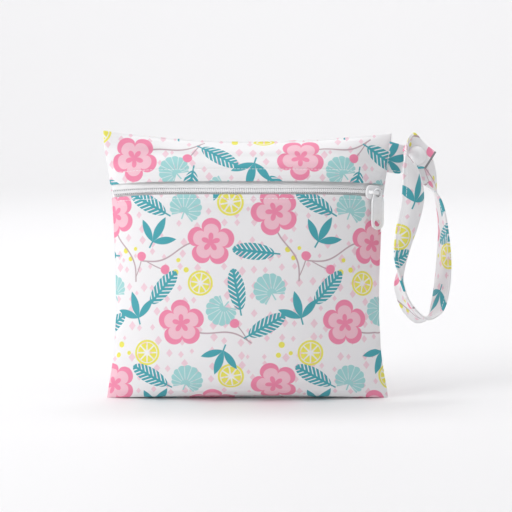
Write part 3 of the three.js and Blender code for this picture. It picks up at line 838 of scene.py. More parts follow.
TAPE_BUMP = (0.5, 0.08)  # strength and height of the ribs


def front_depth(x, z):
    share = z / top_edge(x)
    aside = np.minimum(1, np.abs(x) / half_width(share))
    return dented(pillow_depth(aside, share), x, z)


def tape_face(x, z):
    return -np.maximum(front_depth(x, z) - TAPE_SINK, SEAM_HALF + GAP)


def coil_gap(x):
    return COIL_REST + COIL_SPREAD * smooth(x, SLIDER_X - SLIDER_SPREAD, SLIDER_X + SLIDER_SPREAD)


def tape_reach(x, side):
    """How far a tape reaches from the zip line: to its hem at the ends, and behind it in between."""
    full = ZIP_END - TAPE_TRIM - TAPE_TAPER
    behind = 1 - smooth(np.abs(x), full, full + TAPE_TAPER)
    return side * (hem_line(x, side) - zip_line(x)) + GAP + behind * TAPE_BEHIND


zip_tape, s, shader = new_material("zip_tape", roughness=0.8, sheen_weight=0.15)
pattern = s.add("ShaderNodeUVMap", uv_map=UV_NAME).outputs[0]
ribs = woven_height(s, pattern, TAPE_PITCH, TAPE_SLANT)
# painted shade: the valleys between the tape's ribs are greyed
between = s.add("ShaderNodeMapRange", ribs, *TAPE_VALLEY, 1.0, 0.0).outputs[0]
s.tree.links.new(s.ground(between, TAPE_WHITE, RIB_PAINTED_SHADE_AND_THREAD_GREY), shader.inputs["Base Color"])
raise_surface(s, shader, ribs, *TAPE_BUMP)
tape_x = ZIP_END * np.sin(np.linspace(-0.5, 0.5, TAPE_COLUMNS + 1) * math.pi)
for name, side in (("upper", 1), ("lower", -1)):
    at_end = smooth(np.abs(tape_x), ZIP_END - 2 * TAPE_TUCK, ZIP_END - TAPE_TUCK)
    inner = (coil_gap(tape_x) + GAP) * (1 - at_end)  # the tapes meet past the coils' ends
    shares = np.linspace(0, 1, TAPE_ROWS + 1)[:, None]
    z = zip_line(tape_x) + side * (inner + (tape_reach(tape_x, side) - inner) * shares)
    x = np.broadcast_to(tape_x, z.shape)
    swell = TAPE_SWELL * (1 - smooth(shares, *SWELL_ENDS[side]))
    swell = swell - TAPE_DIP[side] * smooth(shares, *DIP_FROM) * (1 - smooth(np.abs(x), *DIP_ENDS))
    tucked = smooth(np.abs(x), ZIP_END - TAPE_TUCK, ZIP_END)
    to_seam = half_width(z / top_edge(x)) - LIP - ZIP_END
    y = (tape_face(x, z) - swell) * (1 - tucked) - GROOVE * tucked
    rows = np.stack((x + np.sign(x) * to_seam * tucked, y, z), axis=-1)
    flat = np.stack((arc_lengths(rows, 1), arc_lengths(rows, 0)), axis=-1).reshape(-1, 2)
    tape = mesh_object("zip_tape_" + name + "_woven", rows.reshape(-1, 3), grid_faces(*z.shape), flat)
    if tape.data.polygons[0].normal.y > 0:
        tape.data.flip_normals()
    tape.data.materials.append(zip_tape)
    thicken(tape, TAPE)
    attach(tape, "pouch")
    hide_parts("zip_tape_" + name)

# Zip coils
# Each coil is one white nylon thread wound into loops round a filler cord and sewn along its tape's
# edge. The loops of the two coils lie between each other, and two rows of thread hold them down. The
# thread is painted grey for the shade in the gaps between the loops.
COIL_HIGH = 1.6
COIL_INSET = 1.0  # the coils stop this far short of the slot's ends
COIL_POINTS = 240
LOOP_PITCH = 1.4
LOOP_WIDE = 3.0
LOOP_MIDDLE = 0.35  # middle of a loop from its coil's inner edge: the two rows reach past each other
LOOP_FOOT = 0.9  # its ends lie this high over the tape's back line
LOOP_RISE = 1.05
LOOP_WIRE = 0.33
LOOP_LEAN = 0.3
CORD_HIGH = 1.3  # middle of the filler cord inside the loops, and its half sizes
CORD_HALF = (0.6, 0.45)
CORD_SIDES = 10
HELD_AWAY = 0.9  # the holding thread runs this far outside the middle of the loops
HELD_HIGH = 1.7
HELD_STITCH = (1.4, 0.6, 0.1, 0.1, 0.3)  # pitch, along, across, rise, thread radius
NYLON = (0.96, 0.96, 0.962)
NYLON_SHADE = (0.93, 0.93, 0.935)
# painted shade: the holding thread is greyed to stand for the shade in the gaps between the loops
HELD_PAINTED_SHADE_GREY = (0.45, 0.45, 0.46)
HELD_PAINTED_SHADE_DARKER = (0.35, 0.35, 0.36)
THREAD_SKIN = {"grain": 2600, "relief": 0.05, "roughness": 0.7, "sheen_weight": 0.2}
CLOUDS = 260  # scale of a plastic's slow change of tone
CLOUD_FADE = (0.35, 0.7)
SKIN_STRENGTH = 0.3
ARCH_SIZES = ("Pitch", "Along", "Across", "Rise", "Thread")
ARCH_STEPS = 5
THREAD_SIDES = 6


def arch_row_tree():
    """Small thread arches at an even pitch along a path, square to the path's own facing direction."""
    tree = bpy.data.node_groups.new("row of thread arches", "GeometryNodeTree")
    sockets = {}
    tree.interface.new_socket("Path", in_out="INPUT", socket_type="NodeSocketGeometry")
    for label in ARCH_SIZES:
        made = tree.interface.new_socket(label, in_out="INPUT", socket_type="NodeSocketFloat")
        sockets[label] = made.identifier
    made = tree.interface.new_socket("Finish", in_out="INPUT", socket_type="NodeSocketMaterial")
    sockets["Finish"] = made.identifier
    tree.interface.new_socket("Row", in_out="OUTPUT", socket_type="NodeSocketGeometry")
    add = tree.nodes.new
    link = tree.links.new
    given = add("NodeGroupInput").outputs

    def corner(x, y, z):
        """A vector from named inputs, each times a number."""
        vector = add("ShaderNodeCombineXYZ")
        for socket, (label, times) in zip(vector.inputs, (x, y, z)):
            scaled = add("ShaderNodeMath")
            scaled.operation = "MULTIPLY"
            link(given[label], scaled.inputs[0])
            scaled.inputs[1].default_value = times
            link(scaled.outputs[0], socket)
        return vector.outputs[0]

    arch = add("GeometryNodeCurveQuadraticBezier")
    arch.inputs["Resolution"].default_value = ARCH_STEPS
    link(corner(("Along", -0.5), ("Across", -0.5), ("Rise", 0)), arch.inputs["Start"])
    link(corner(("Along", 0), ("Across", 0), ("Rise", 2)), arch.inputs["Middle"])
    link(corner(("Along", 0.5), ("Across", 0.5), ("Rise", 0)), arch.inputs["End"])
    section = add("GeometryNodeCurvePrimitiveCircle")
    section.inputs["Resolution"].default_value = THREAD_SIDES
    link(given["Thread"], section.inputs["Radius"])
    thread = add("GeometryNodeCurveToMesh")
    thread.inputs["Fill Caps"].default_value = True
    link(arch.outputs["Curve"], thread.inputs["Curve"])
    link(section.outputs["Curve"], thread.inputs["Profile Curve"])
    path = add("GeometryNodeMeshToCurve")
    link(given["Path"], path.inputs["Mesh"])
    even = add("GeometryNodeResampleCurve")
    even.mode = "LENGTH"
    link(path.outputs["Curve"], even.inputs["Curve"])
    link(given["Pitch"], even.inputs["Length"])
    spots = add("GeometryNodeCurveToPoints")
    spots.mode = "EVALUATED"
    link(even.outputs["Curve"], spots.inputs["Curve"])
    facing = add("GeometryNodeInputNamedAttribute")
    facing.data_type = "FLOAT_VECTOR"
    facing.inputs["Name"].default_value = "facing"
    level = add("FunctionNodeAlignRotationToVector")
    level.axis = "X"
    link(spots.outputs["Tangent"], level.inputs["Vector"])
    upright = add("FunctionNodeAlignRotationToVector")
    upright.axis = "Z"
    upright.pivot_axis = "X"
    link(level.outputs["Rotation"], upright.inputs["Rotation"])
    link(facing.outputs["Attribute"], upright.inputs["Vector"])
    placed = add("GeometryNodeInstanceOnPoints")
    link(spots.outputs["Points"], placed.inputs["Points"])
    link(thread.outputs["Mesh"], placed.inputs["Instance"])
    link(upright.outputs["Rotation"], placed.inputs["Rotation"])
    whole = add("GeometryNodeRealizeInstances")
    link(placed.outputs["Instances"], whole.inputs["Geometry"])
    finish = add("GeometryNodeSetMaterial")
    link(whole.outputs["Geometry"], finish.inputs["Geometry"])
    link(given["Finish"], finish.inputs["Material"])
    link(finish.outputs["Geometry"], add("NodeGroupOutput").inputs["Row"])
    return tree, sockets


ARCH_ROW, ARCH_SOCKETS = arch_row_tree()


def arch_row(name, path, facing, sizes, finish):
    """A row of arches along a path in millimetres: sizes are pitch, along, across, rise and thread."""
    mesh = bpy.data.meshes.new(name)
    mesh.from_pydata((np.asarray(path) * MM).tolist(), [(i, i + 1) for i in range(len(path) - 1)], [])
    attribute = mesh.attributes.new("facing", "FLOAT_VECTOR", "POINT")
    attribute.data.foreach_set("vector", np.asarray(facing, dtype=np.float32).ravel())
    made = bpy.data.objects.new(name, mesh)
    bpy.context.scene.collection.objects.link(made)
    row = made.modifiers.new("row", "NODES")
    row.node_group = ARCH_ROW
    for label, size in zip(ARCH_SIZES, sizes):
        row[ARCH_SOCKETS[label]] = size * MM
    row[ARCH_SOCKETS["Finish"]] = finish
    make_plain(made)
    made.data.shade_smooth()
    return made


def joined_piece(name, parts):
    """Several made meshes as one piece."""
    with bpy.context.temp_override(active_object=parts[0], selected_editable_objects=parts):
        bpy.ops.object.join()
    parts[0].name = name
    parts[0].data.name = name
    return parts[0]


def moulded_group():
    """The slight unevenness of a moulded or drawn white plastic: a mask for its tone, and its height."""
    inputs = [("Place", "Vector"), ("Grain", "Float")]
    group, s, given, result = new_group("moulded plastic", inputs, [("Tone", "Float"), ("Height", "Float")])
    broad = s.add("ShaderNodeTexNoise", given["Place"])
    broad.inputs["Scale"].default_value = CLOUDS
    fine = s.add("ShaderNodeTexNoise", given["Place"])
    group.links.new(given["Grain"], fine.inputs["Scale"])
    tone = s.add("ShaderNodeMapRange", broad.outputs["Fac"], *CLOUD_FADE, 0.0, 1.0).outputs[0]
    group.links.new(tone, result["Tone"])
    group.links.new(fine.outputs["Fac"], result["Height"])
    return group


MOULDED = moulded_group()


def plastic(name, light, shade, grain, relief, **sockets):
    """A white plastic: two near tones, and a fine skin of a given grain and relief."""
    material, s, shader = new_material(name, **sockets)
    skin = s.add("ShaderNodeGroup", node_tree=MOULDED)
    s.tree.links.new(s.add("ShaderNodeTexCoord").outputs["Object"], skin.inputs["Place"])
    skin.inputs["Grain"].default_value = grain
    s.tree.links.new(s.ground(skin.outputs["Tone"], light, shade), shader.inputs["Base Color"])
    raise_surface(s, shader, skin.outputs["Height"], SKIN_STRENGTH, relief)
    return material


def ring_faces(rings, sides):
    """Faces of a tube between rings of points, each ring closed on itself."""
    around = np.arange(rings * sides).reshape(rings, sides)
    following = np.roll(around, -1, axis=1)
    return np.stack((around[:-1], following[:-1], following[1:], around[1:]), axis=-1).reshape(-1, 4)


def tube(name, rings, uvs=None):
    """A closed tube through rings of points in millimetres."""
    count, sides = rings.shape[:2]
    ends = [list(range(sides)), list(range((count - 1) * sides, count * sides))]
    return mesh_object(name, rings.reshape(-1, 3), ring_faces(count, sides).tolist() + ends, uvs)


def zip_path(x, away):
    """A line on the tapes at a height above or below the zip line, and the way that it faces."""
    z = zip_line(x) + away
    y = tape_face(x, z)
    slope = np.gradient(y, x)
    facing = np.stack((slope, -np.ones_like(x), np.zeros_like(x)), axis=-1)
    facing /= np.linalg.norm(facing, axis=1)[:, None]
    return np.stack((x, y, z), axis=-1), facing


zip_nylon = plastic("zip_nylon", NYLON, NYLON_SHADE, grain=900, relief=0.02, roughness=0.42, ior=1.53)
sewing_thread = plastic("sewing_thread", NYLON, RIB_PAINTED_SHADE_AND_THREAD_GREY, **THREAD_SKIN)
holding_thread = plastic("holding_thread", HELD_PAINTED_SHADE_GREY, HELD_PAINTED_SHADE_DARKER, **THREAD_SKIN)
for name, side, start in (("upper", 1, 0.0), ("lower", -1, LOOP_PITCH / 2)):
    x = np.linspace(-ZIP_END + COIL_INSET + start, ZIP_END - COIL_INSET, COIL_POINTS)
    middle = coil_gap(x) + LOOP_MIDDLE
    path, facing = zip_path(x, side * middle)
    sizes = (LOOP_PITCH, LOOP_LEAN * side, LOOP_WIDE, LOOP_RISE, LOOP_WIRE)
    loops = arch_row("loops", path + facing * LOOP_FOOT, facing, sizes, zip_nylon)
    turns = np.linspace(0, 2 * math.pi, CORD_SIDES, endpoint=False)[:, None]
    wide = CORD_HALF[0] * np.cos(turns) * np.array((0, 0, 1))
    high = CORD_HIGH + CORD_HALF[1] * np.sin(turns)
    cord = tube("cord", path[:, None] + wide + high * facing[:, None])
    cord.data.materials.append(zip_nylon)
    x = x + LOOP_PITCH / 2
    path, facing = zip_path(x, side * (middle + HELD_AWAY))
    held = arch_row("held", path + facing * HELD_HIGH, facing, HELD_STITCH, holding_thread)
    coil = joined_piece("zip_coil_" + name + "_loops", [loops, held, cord])
    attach(coil, "pouch")
    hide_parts("zip_coil_" + name)

# Hem stitching
# Two rows of white polyester lockstitch hold the cloth to the zip tapes behind it: one close to the
# lower hem, and one above the zip where the tape's edge ends.
LOCKSTITCH = (2.4, 1.9, 0.0, 0.13, 0.15)  # pitch, along, across, rise, thread radius
STITCH_SPAN = (-86.0, 84.0)  # first and last place of a row
STITCH_POINTS = 200
STITCH_SINK = 0.05  # the thread draws the cloth in and lies this deep in it
HEM_STITCHES = (  # piece, side of the zip, distance from the hem
    ("upper_hem_stitches", 1, 8.0),
    ("lower_hem_stitches", -1, 2.7),
)
for name, side, away in HEM_STITCHES:
    x = np.linspace(*STITCH_SPAN, STITCH_POINTS)
    z = hem_line(x, side) + side * away
    y = front_y(x, z)
    slope_up = front_y(x, z + 1) - front_y(x, z)
    slope_along = front_y(x + 1, z) - front_y(x, z)
    facing = np.stack((slope_along, -np.ones_like(x), slope_up), axis=-1)
    facing /= np.linalg.norm(facing, axis=1)[:, None]
    path = np.stack((x, y, z), axis=-1) - facing * STITCH_SINK
    stitches = arch_row(name, path, facing, LOCKSTITCH, sewing_thread)
    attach(stitches, "pouch")

# Zip slider
# A die-cast slider with white enamel: an outer plate with a bridge over it, an inner plate behind the
# tapes, and the wedge between them that parts the coils.
PLATE_LONG = 10.4
PLATE_WIDE = 9.2
PLATE_THICK = 1.5
PLATE_CORNER = 3.0
PLATE_EDGE = 0.45  # radius of its rounded edge
SLIDER_CLEAR = 0.45
SLIDER_REACH = 3.0
TAPE_ROOM = 0.8  # room for the tapes between the plates
INNER_LONG = 7.8
INNER_CORNER = 2.0
INNER_THICK = 1.1
INNER_EDGE = 0.3
WEDGE_LONG = 2.0
WEDGE_WIDE = 1.6
WEDGE_CORNER = 0.6
WEDGE_EDGE = 0.1
WEDGE_SINK = 0.2  # the wedge runs this far into both plates
BRIDGE_LEG = 1.5
BRIDGE_WIDE = 2.2
BRIDGE_SPAN = 6.8
BRIDGE_CLEAR = 2.5
BRIDGE_BAR = 1.2
BRIDGE_ROUND = 1.9  # radius of its outer corners
BRIDGE_HOLLOW = 0.9  # radius of its inner corners
BRIDGE_EDGE = 0.35
BRIDGE_SINK = 0.3  # its feet run this far into the plate
BEVEL_STEPS = 3
WELD = 0.002  # points this close are one
SHARP = 50  # degrees between two faces that meet in a sharp edge
ENAMEL = (0.93, 0.93, 0.935)
ENAMEL_SHADE = (0.88, 0.88, 0.89)
ARC_STEPS = 10
PLATE_INSIDE = -(COIL_HIGH / 2 + SLIDER_CLEAR)
PLATE_OUTSIDE = PLATE_INSIDE - PLATE_THICK
INNER_NEAR = COIL_HIGH / 2 + GAP + TAPE_ROOM + SLIDER_CLEAR


def arc(x, z, radius, start, end):
    """Points of an arc in degrees."""
    angles = np.radians(np.linspace(start, end, ARC_STEPS + 1))
    return [(x + radius * math.cos(a), z + radius * math.sin(a)) for a in angles]


def rounded_plate(long, wide, corner):
    x = long / 2 - corner
    z = wide / 2 - corner
    ends = ((x, z, 0), (-x, z, 90), (-x, -z, 180), (x, -z, 270))
    return [p for ex, ez, start in ends for p in arc(ex, ez, corner, start, start + 90)]


def arch_line(half, top, corner):
    """An arch's two round corners, from its left side over the top to its right side."""
    left = arc(-half + corner, top - corner, corner, 180, 90)
    return left + arc(half - corner, top - corner, corner, 90, 0)


def moulding(outlines, near, far, edge, place, finish):
    """A flat moulding drawn in X and Z, outside line first and then its holes, from y near to y far."""
    drawn = bpy.data.curves.new("moulding", "CURVE")
    drawn.dimensions = "2D"
    drawn.fill_mode = "BOTH"
    drawn.bevel_depth = edge * MM
    drawn.offset = -edge * MM
    drawn.bevel_resolution = BEVEL_STEPS
    drawn.extrude = ((far - near) / 2 - edge) * MM
    for number, drawn_line in enumerate(outlines):
        outline = drawn_line if number == 0 else drawn_line[::-1]
        line = drawn.splines.new("POLY")
        line.points.add(len(outline) - 1)
        line.use_cyclic_u = True
        for spot, (x, z) in zip(line.points, outline):
            spot.co = (x * MM, z * MM, 0, 1)
    flat = bpy.data.objects.new("moulding", drawn)
    bpy.context.scene.collection.objects.link(flat)
    mesh = bpy.data.meshes.new_from_object(flat.evaluated_get(bpy.context.evaluated_depsgraph_get()))
    bpy.data.objects.remove(flat)
    stand = Matrix.Translation((0, (near + far) / 2 * MM, 0)) @ Matrix.Rotation(math.pi / 2, 4, "X")
    mesh.transform(place @ stand)
    face_outwards(mesh, WELD)
    mesh.materials.clear()
    mesh.materials.append(finish)
    mesh.shade_smooth()
    mesh.set_sharp_from_angle(angle=math.radians(SHARP))
    made = bpy.data.objects.new("moulding", mesh)
    bpy.context.scene.collection.objects.link(made)
    return made


def coil_middle(x):
    at = np.array([x], float)
    return float(tape_face(at, zip_line(at))[0]) - GAP - COIL_HIGH / 2


ahead = SLIDER_X + SLIDER_REACH
behind = SLIDER_X - SLIDER_REACH
slider_turn = math.atan2(coil_middle(ahead) - coil_middle(behind), ahead - behind)
slider_tilt = math.atan2(zip_line(behind) - zip_line(ahead), ahead - behind)
slider_at = Vector((SLIDER_X, coil_middle(SLIDER_X), zip_line(SLIDER_X))) * MM
slider_square = Matrix.Translation(slider_at) @ Matrix.Rotation(slider_turn, 4, "Z")
slider_place = slider_square @ Matrix.Rotation(slider_tilt, 4, "Y")
slider_enamel = plastic("slider_enamel", ENAMEL, ENAMEL_SHADE, grain=1800, relief=0.015, roughness=0.26,
                        coat_weight=0.4)
plate = rounded_plate(PLATE_LONG, PLATE_WIDE, PLATE_CORNER)
inner_plate = rounded_plate(INNER_LONG, PLATE_WIDE, INNER_CORNER)
inner_place = slider_place @ Matrix.Translation(((INNER_LONG - PLATE_LONG) / 2 * MM, 0, 0))
wedge = rounded_plate(WEDGE_LONG, WEDGE_WIDE, WEDGE_CORNER)
wedge_x = PLATE_LONG / 2 - WEDGE_LONG - WEDGE_LONG / 2
wedge_place = slider_place @ Matrix.Translation((wedge_x * MM, 0, 0))
wedge_span = (PLATE_INSIDE - WEDGE_SINK, INNER_NEAR + WEDGE_SINK)
leg = BRIDGE_SPAN / 2
inner_leg = leg - BRIDGE_LEG
over = arch_line(leg, BRIDGE_CLEAR + BRIDGE_BAR, BRIDGE_ROUND)
under = arch_line(inner_leg, BRIDGE_CLEAR, BRIDGE_HOLLOW)[::-1]
left_foot = [(-inner_leg, -BRIDGE_SINK), (-leg, -BRIDGE_SINK)]
right_foot = [(leg, -BRIDGE_SINK), (inner_leg, -BRIDGE_SINK)]
bridge = left_foot + over + right_foot + under
bridge_up = Matrix.Translation((0, PLATE_OUTSIDE * MM, 0)) @ Matrix.Rotation(math.pi / 2, 4, "X")
bridge_place = slider_place @ bridge_up
slider = joined_piece("zip_slider_cast", [
    moulding([plate], PLATE_OUTSIDE, PLATE_INSIDE, PLATE_EDGE, slider_place, slider_enamel),
    moulding([inner_plate], INNER_NEAR, INNER_NEAR + INNER_THICK, INNER_EDGE, inner_place, slider_enamel),
    moulding([wedge], *wedge_span, WEDGE_EDGE, wedge_place, slider_enamel),
    moulding([bridge], -BRIDGE_WIDE / 2, BRIDGE_WIDE / 2, BRIDGE_EDGE, bridge_place, slider_enamel),
])
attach(slider, "pouch")
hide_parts("zip_slider")

# Pull
# A moulded white tab that hangs by its eye on the right leg of the slider's bridge. Its face is sunk
# inside a raised border, and its round lower end has a hole.
PULL_LONG = 24.6  # hinge to lower end
PULL_WIDE = 9.0
PULL_THICK = 1.5
PULL_RECESS = 0.45
PULL_BORDER = 1.1
PULL_SHOULDER = 3.0
SHOULDER_STEPS = 8
PULL_LAP = 0.4  # the border stops this far short of the tab's back
PULL_EDGE = 0.3  # radius of the tab's rounded edge, and of its border's
BORDER_EDGE = 0.25
RECESS_DROP = 1.6
RECESS_CORNER = 1.2
EYE_HOLE = 1.75
EYE_SLOT = 1.0
EYE_RING = 3.15
END_HOLE = 2.3


def eased_line(start, end):
    """A shoulder between two places, straight up and down at both ends."""
    shares = np.linspace(0, 1, SHOULDER_STEPS + 1)
    x = start[0] + (end[0] - start[0]) * smooth(shares, 0, 1)
    z = start[1] + (end[1] - start[1]) * shares
    return list(zip(x.tolist(), z.tolist()))


half = PULL_WIDE / 2
low = half - PULL_LONG
shoulder = -EYE_RING - PULL_SHOULDER
tab = (arc(0, 0, EYE_RING, 0, 180) + eased_line((-EYE_RING, 0), (-half, shoulder))[1:]
       + arc(0, low, half, 180, 360) + eased_line((half, shoulder), (EYE_RING, 0))[:-1])
eye = arc(0, 0, EYE_HOLE, 0, 180) + arc(0, -EYE_SLOT, EYE_HOLE, 180, 360)
end_hole = arc(0, low, END_HOLE, 0, 360)[:-1]
sunk_half = half - PULL_BORDER
corner_x = sunk_half - RECESS_CORNER
corner_z = -EYE_RING - RECESS_DROP - RECESS_CORNER
sunk = (arc(0, low, sunk_half, 180, 360) + arc(corner_x, corner_z, RECESS_CORNER, 0, 90)
        + arc(-corner_x, corner_z, RECESS_CORNER, 90, 180))
leg_x = (BRIDGE_SPAN - BRIDGE_LEG) / 2
hinge_x = leg_x * math.cos(slider_tilt)
hinge_z = -leg_x * math.sin(slider_tilt)
hinge = Vector((hinge_x, PLATE_OUTSIDE - BRIDGE_CLEAR / 2, hinge_z)) * MM
pull_place = slider_square @ Matrix.Translation(hinge)
front = -PULL_THICK / 2
back = PULL_THICK / 2
pull = joined_piece("pull_tab_moulded", [
    moulding([tab, eye, end_hole], front + PULL_RECESS, back, PULL_EDGE, pull_place, slider_enamel),
    moulding([tab, eye, sunk], front, back - PULL_LAP, BORDER_EDGE, pull_place, slider_enamel),
])
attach(pull, "pull")
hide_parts("pull_tab")

# Wrist strap
# A strip of the same printed cloth, folded to a flat double band, sewn along its edge and caught in
# the right side seam. It hangs in a loop whose end is pinched at the snap.
STRAP_WIDE = 20.6
STRAP_THICK = 1.6
STRAP_STEPS = 8  # sections between two stations
STRAP_ACROSS = 12
STRAP_EDGE_STEPS = 6  # steps round each edge
STRAP_START = 2  # the first sections lie inside the pouch
STRAP_PATTERN = (34, 26)
STRAP_BOW = (  # station, height of the band's bow across its width
    (0, 0),
    (3, 0),
    (6, 1.2),
    (12, 1.2),
    (16.5, 4),
    (19.5, 4),
    (21.5, 0),
    (25, 0),
)
BOW_MEAN = 0.85  # share of the bow that lies on the face's side of the flat band
BOW_NARROWS = 0.027  # share of the width that each millimetre of bow takes
STRAP_STITCH = 2.0  # the sewn row's distance from the near edge
STITCH_STOP = 2  # sections at the cut end without stitches
CUT_PAINTED_SHADOW = (0.2, 0.2, 0.21)  # painted shadow: the cut end is dark grey for the shade along it
CUT_PAINTED_SHADOW_PALER = (0.34, 0.34, 0.35)
CUT_FIBRE = 1400
STRAP = (  # centre x, y, z, direction to the near edge x, y, z, share of the full width
    (90, -0.9, 163.7, -0.12, 0, -0.99, 1),
    (102, 1.9, 161.2, -0.15, 0.25, -0.95, 1),
    (111.1, 2.6, 162.4, -0.5, -0.35, -0.79, 1),
    (118.4, 6.2, 155.4, -0.48, -0.46, -0.75, 1),
    (123.5, 9, 146.9, -0.4, -0.83, -0.36, 1),
    (127.1, 10, 138, -0.1, -0.99, 0.02, 1),
    (130, 10.5, 128.5, 0.08, -0.99, 0.06, 1),
    (132.3, 10.5, 112.9, 0.17, -0.98, 0.08, 1),
    (132.8, 9, 91.3, 0.35, -0.93, 0.08, 1),
    (131.3, 6.5, 73.8, 0.38, -0.92, 0, 1),
    (128, 3, 61.4, 0.27, -0.96, -0.1, 1),
    (121.9, -0.5, 54.1, -0.06, -0.99, 0.12, 1),
    (113.8, -4, 55.3, 0.04, -0.9, 0.44, 1),
    (105.5, -7.5, 65, 0.16, -0.91, 0.38, 1),
    (100.9, -10.5, 78.2, 0.16, -0.98, 0.13, 1),
    (100.8, -12.5, 89.8, -0.22, -0.97, 0.05, 1),
    (102.1, -14, 100.6, -0.58, -0.81, 0.03, 1),
    (105.4, -15, 116.6, -0.82, -0.57, 0.04, 1),
    (108.8, -15.5, 133.2, -0.86, -0.51, 0, 1),
    (108.8, -15, 146.9, -0.76, -0.65, -0.04, 1),
    (106.7, -14.5, 156.7, -0.6, -0.8, -0.06, 0.85),
    (104.4, -13, 163.8, -0.32, -0.94, -0.1, 0.52),
    (104.8, -8.8, 169.2, -0.3, -0.7, -0.6, 0.5),
    (107, -2.6, 172.4, -0.5, -0.1, -0.86, 0.74),
    (112.2, -1.9, 163.6, -0.6, -0.1, -0.79, 0.97),
    (121.9, -3.2, 160.6, -0.53, -0.1, -0.84, 0.62),
)
SNAP_STATION = len(STRAP) - 2
UNDER_STATION = 2


def through_stations(rows, steps):
    """A smooth line through a table's rows, and its direction, a number of steps to a row."""
    table = np.array(rows, float)
    ends = np.concatenate((2 * table[:1] - table[1:2], table, 2 * table[-1:] - table[-2:-1]))
    at = np.arange((len(table) - 1) * steps + 1) / steps
    row = np.minimum(at.astype(int), len(table) - 2)
    t = (at - row)[:, None]
    start, end = ends[row + 1], ends[row + 2]
    leave, arrive = (ends[row + 2] - ends[row]) / 2, (ends[row + 3] - ends[row + 1]) / 2
    cubic = 2 * start - 2 * end + leave + arrive
    square = -3 * start + 3 * end - 2 * leave - arrive
    return ((cubic * t + square) * t + leave) * t + start, (3 * cubic * t + 2 * square) * t + leave


def unit(vectors):
    return vectors / np.linalg.norm(vectors, axis=-1, keepdims=True)


line, heading = through_stations(STRAP, STRAP_STEPS)
strap_middle = line[:, :3]
strap_edge = unit(line[:, 3:6])
strap_face = unit(np.cross(unit(heading[:, :3]), strap_edge))
bow = table_column(STRAP_BOW, 1)(np.arange(len(line)) / STRAP_STEPS)
strap_half = STRAP_WIDE / 2 * line[:, 6] * (1 - BOW_NARROWS * bow)
thick = STRAP_THICK / 2
flat_steps = np.linspace(1, -1, STRAP_ACROSS + 1)
round_steps = np.radians(np.linspace(-90, 90, STRAP_EDGE_STEPS + 1)[1:-1])
section = [(share, 0.0, 1.0) for share in flat_steps]
section += [(-1.0, -math.cos(a), -math.sin(a)) for a in round_steps]
section += [(share, 0.0, -1.0) for share in -flat_steps]
section += [(1.0, math.cos(a), math.sin(a)) for a in round_steps]
shares = np.array(section)
flat_half = (strap_half - thick)[:, None]
away = flat_half * shares[:, 0] + thick * shares[:, 1]
rise = thick * shares[:, 2] + bow[:, None] * (BOW_MEAN - shares[:, 0] ** 2)
points = strap_middle[:, None] + away[:, :, None] * strap_edge[:, None]
points = (points + rise[:, :, None] * strap_face[:, None])[STRAP_START:]
run = np.broadcast_to(arc_lengths(strap_middle, 0)[:, None], away.shape)
flat = np.stack((away, run), axis=-1)[STRAP_START:] + np.array(STRAP_PATTERN)
strap = tube("wrist_strap_cloth", points, flat.reshape(-1, 2))
strap.data.materials.append(printed_cloth)
# painted shadow: the last stretch and end of the strap take a dark grey
strap.data.materials.append(mottled("cut_end_painted_shadow", CUT_PAINTED_SHADOW, CUT_PAINTED_SHADOW_PALER, CUT_FIBRE, roughness=0.5))
cut_from = (len(points) - 2) * len(section)
for face in strap.data.polygons:
    face.material_index = int(min(face.vertices) >= cut_from)
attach(strap, "pouch")
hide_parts("wrist_strap")
rows = []
sewn = strap_half - STRAP_STITCH
lifted = bow * (BOW_MEAN - (sewn / (strap_half - thick)) ** 2)
stretch = slice(STRAP_START, -STITCH_STOP)
for side in (1, -1):
    on_face = strap_middle + sewn[:, None] * strap_edge + (lifted + side * thick)[:, None] * strap_face
    facing = side * strap_face
    rows.append(arch_row("stitches", on_face[stretch], facing[stretch], LOCKSTITCH, sewing_thread))
strap_stitches = joined_piece("wrist_strap_stitches", rows)
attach(strap_stitches, "pouch")

# Snap
# A white plastic snap that holds the strap's end on its root: a domed cap in front, a stud between
# the two layers and a flatter cap behind, pressed together through the cloth.
SNAP_CAP = 12.4
SNAP_DOME = 2.8
SNAP_STUD = 9.0
SNAP_BACK = 11.0
SNAP_POST = 1.3
SNAP_RIM = 0.7
SNAP_BEVEL = 0.5
STUD_BEVEL = 0.4
RIM_STEPS = 4
CROWN_STEPS = 14
TURNED_SIDES = 64
SNAP_WHITE = (0.95, 0.95, 0.955)
SNAP_SHADE = (0.92, 0.92, 0.925)
station = SNAP_STATION * STRAP_STEPS
snap_out = Vector(strap_face[station])
if snap_out.y > 0:
    snap_out.negate()
snap_centre = Vector(strap_middle[station])
layer_gap = snap_out.dot(snap_centre - Vector(strap_middle[UNDER_STATION * STRAP_STEPS]))
snap_turn = snap_out.to_track_quat("Z", "Y").to_matrix().to_4x4()
snap_place = Matrix.Translation(snap_centre * MM) @ snap_turn
snap_plastic = plastic("snap_plastic", SNAP_WHITE, SNAP_SHADE, grain=1500, relief=0.01, roughness=0.25,
                       coat_weight=0.6)


def turned_mesh(name, profile):
    """A round piece on the Z axis, from radii and heights that start on the axis."""
    angles = np.linspace(0, 2 * math.pi, TURNED_SIDES, endpoint=False)
    points = [(r * math.cos(a), r * math.sin(a), h) for r, h in profile for a in angles]
    made = mesh_object(name, points, ring_faces(len(profile), TURNED_SIDES))
    face_outwards(made.data, WELD)
    return made


def domed(radius, seat, high, post):
    """Profile of a domed cap on its post, with a rounded rim and an arched crown."""
    way = math.copysign(1, high)
    rim = [(radius - SNAP_BEVEL + SNAP_BEVEL * math.sin(a), seat + way * SNAP_BEVEL * (1 - math.cos(a)))
           for a in np.linspace(0, math.pi / 2, RIM_STEPS + 1)]
    foot = seat + way * SNAP_RIM
    arched = seat + high - foot
    crown = [(radius * t, foot + arched * (1 - t * t)) for t in np.linspace(1, 0, CROWN_STEPS + 1)]
    return [(0, post), (SNAP_POST, post), (SNAP_POST, seat), *rim, *crown]


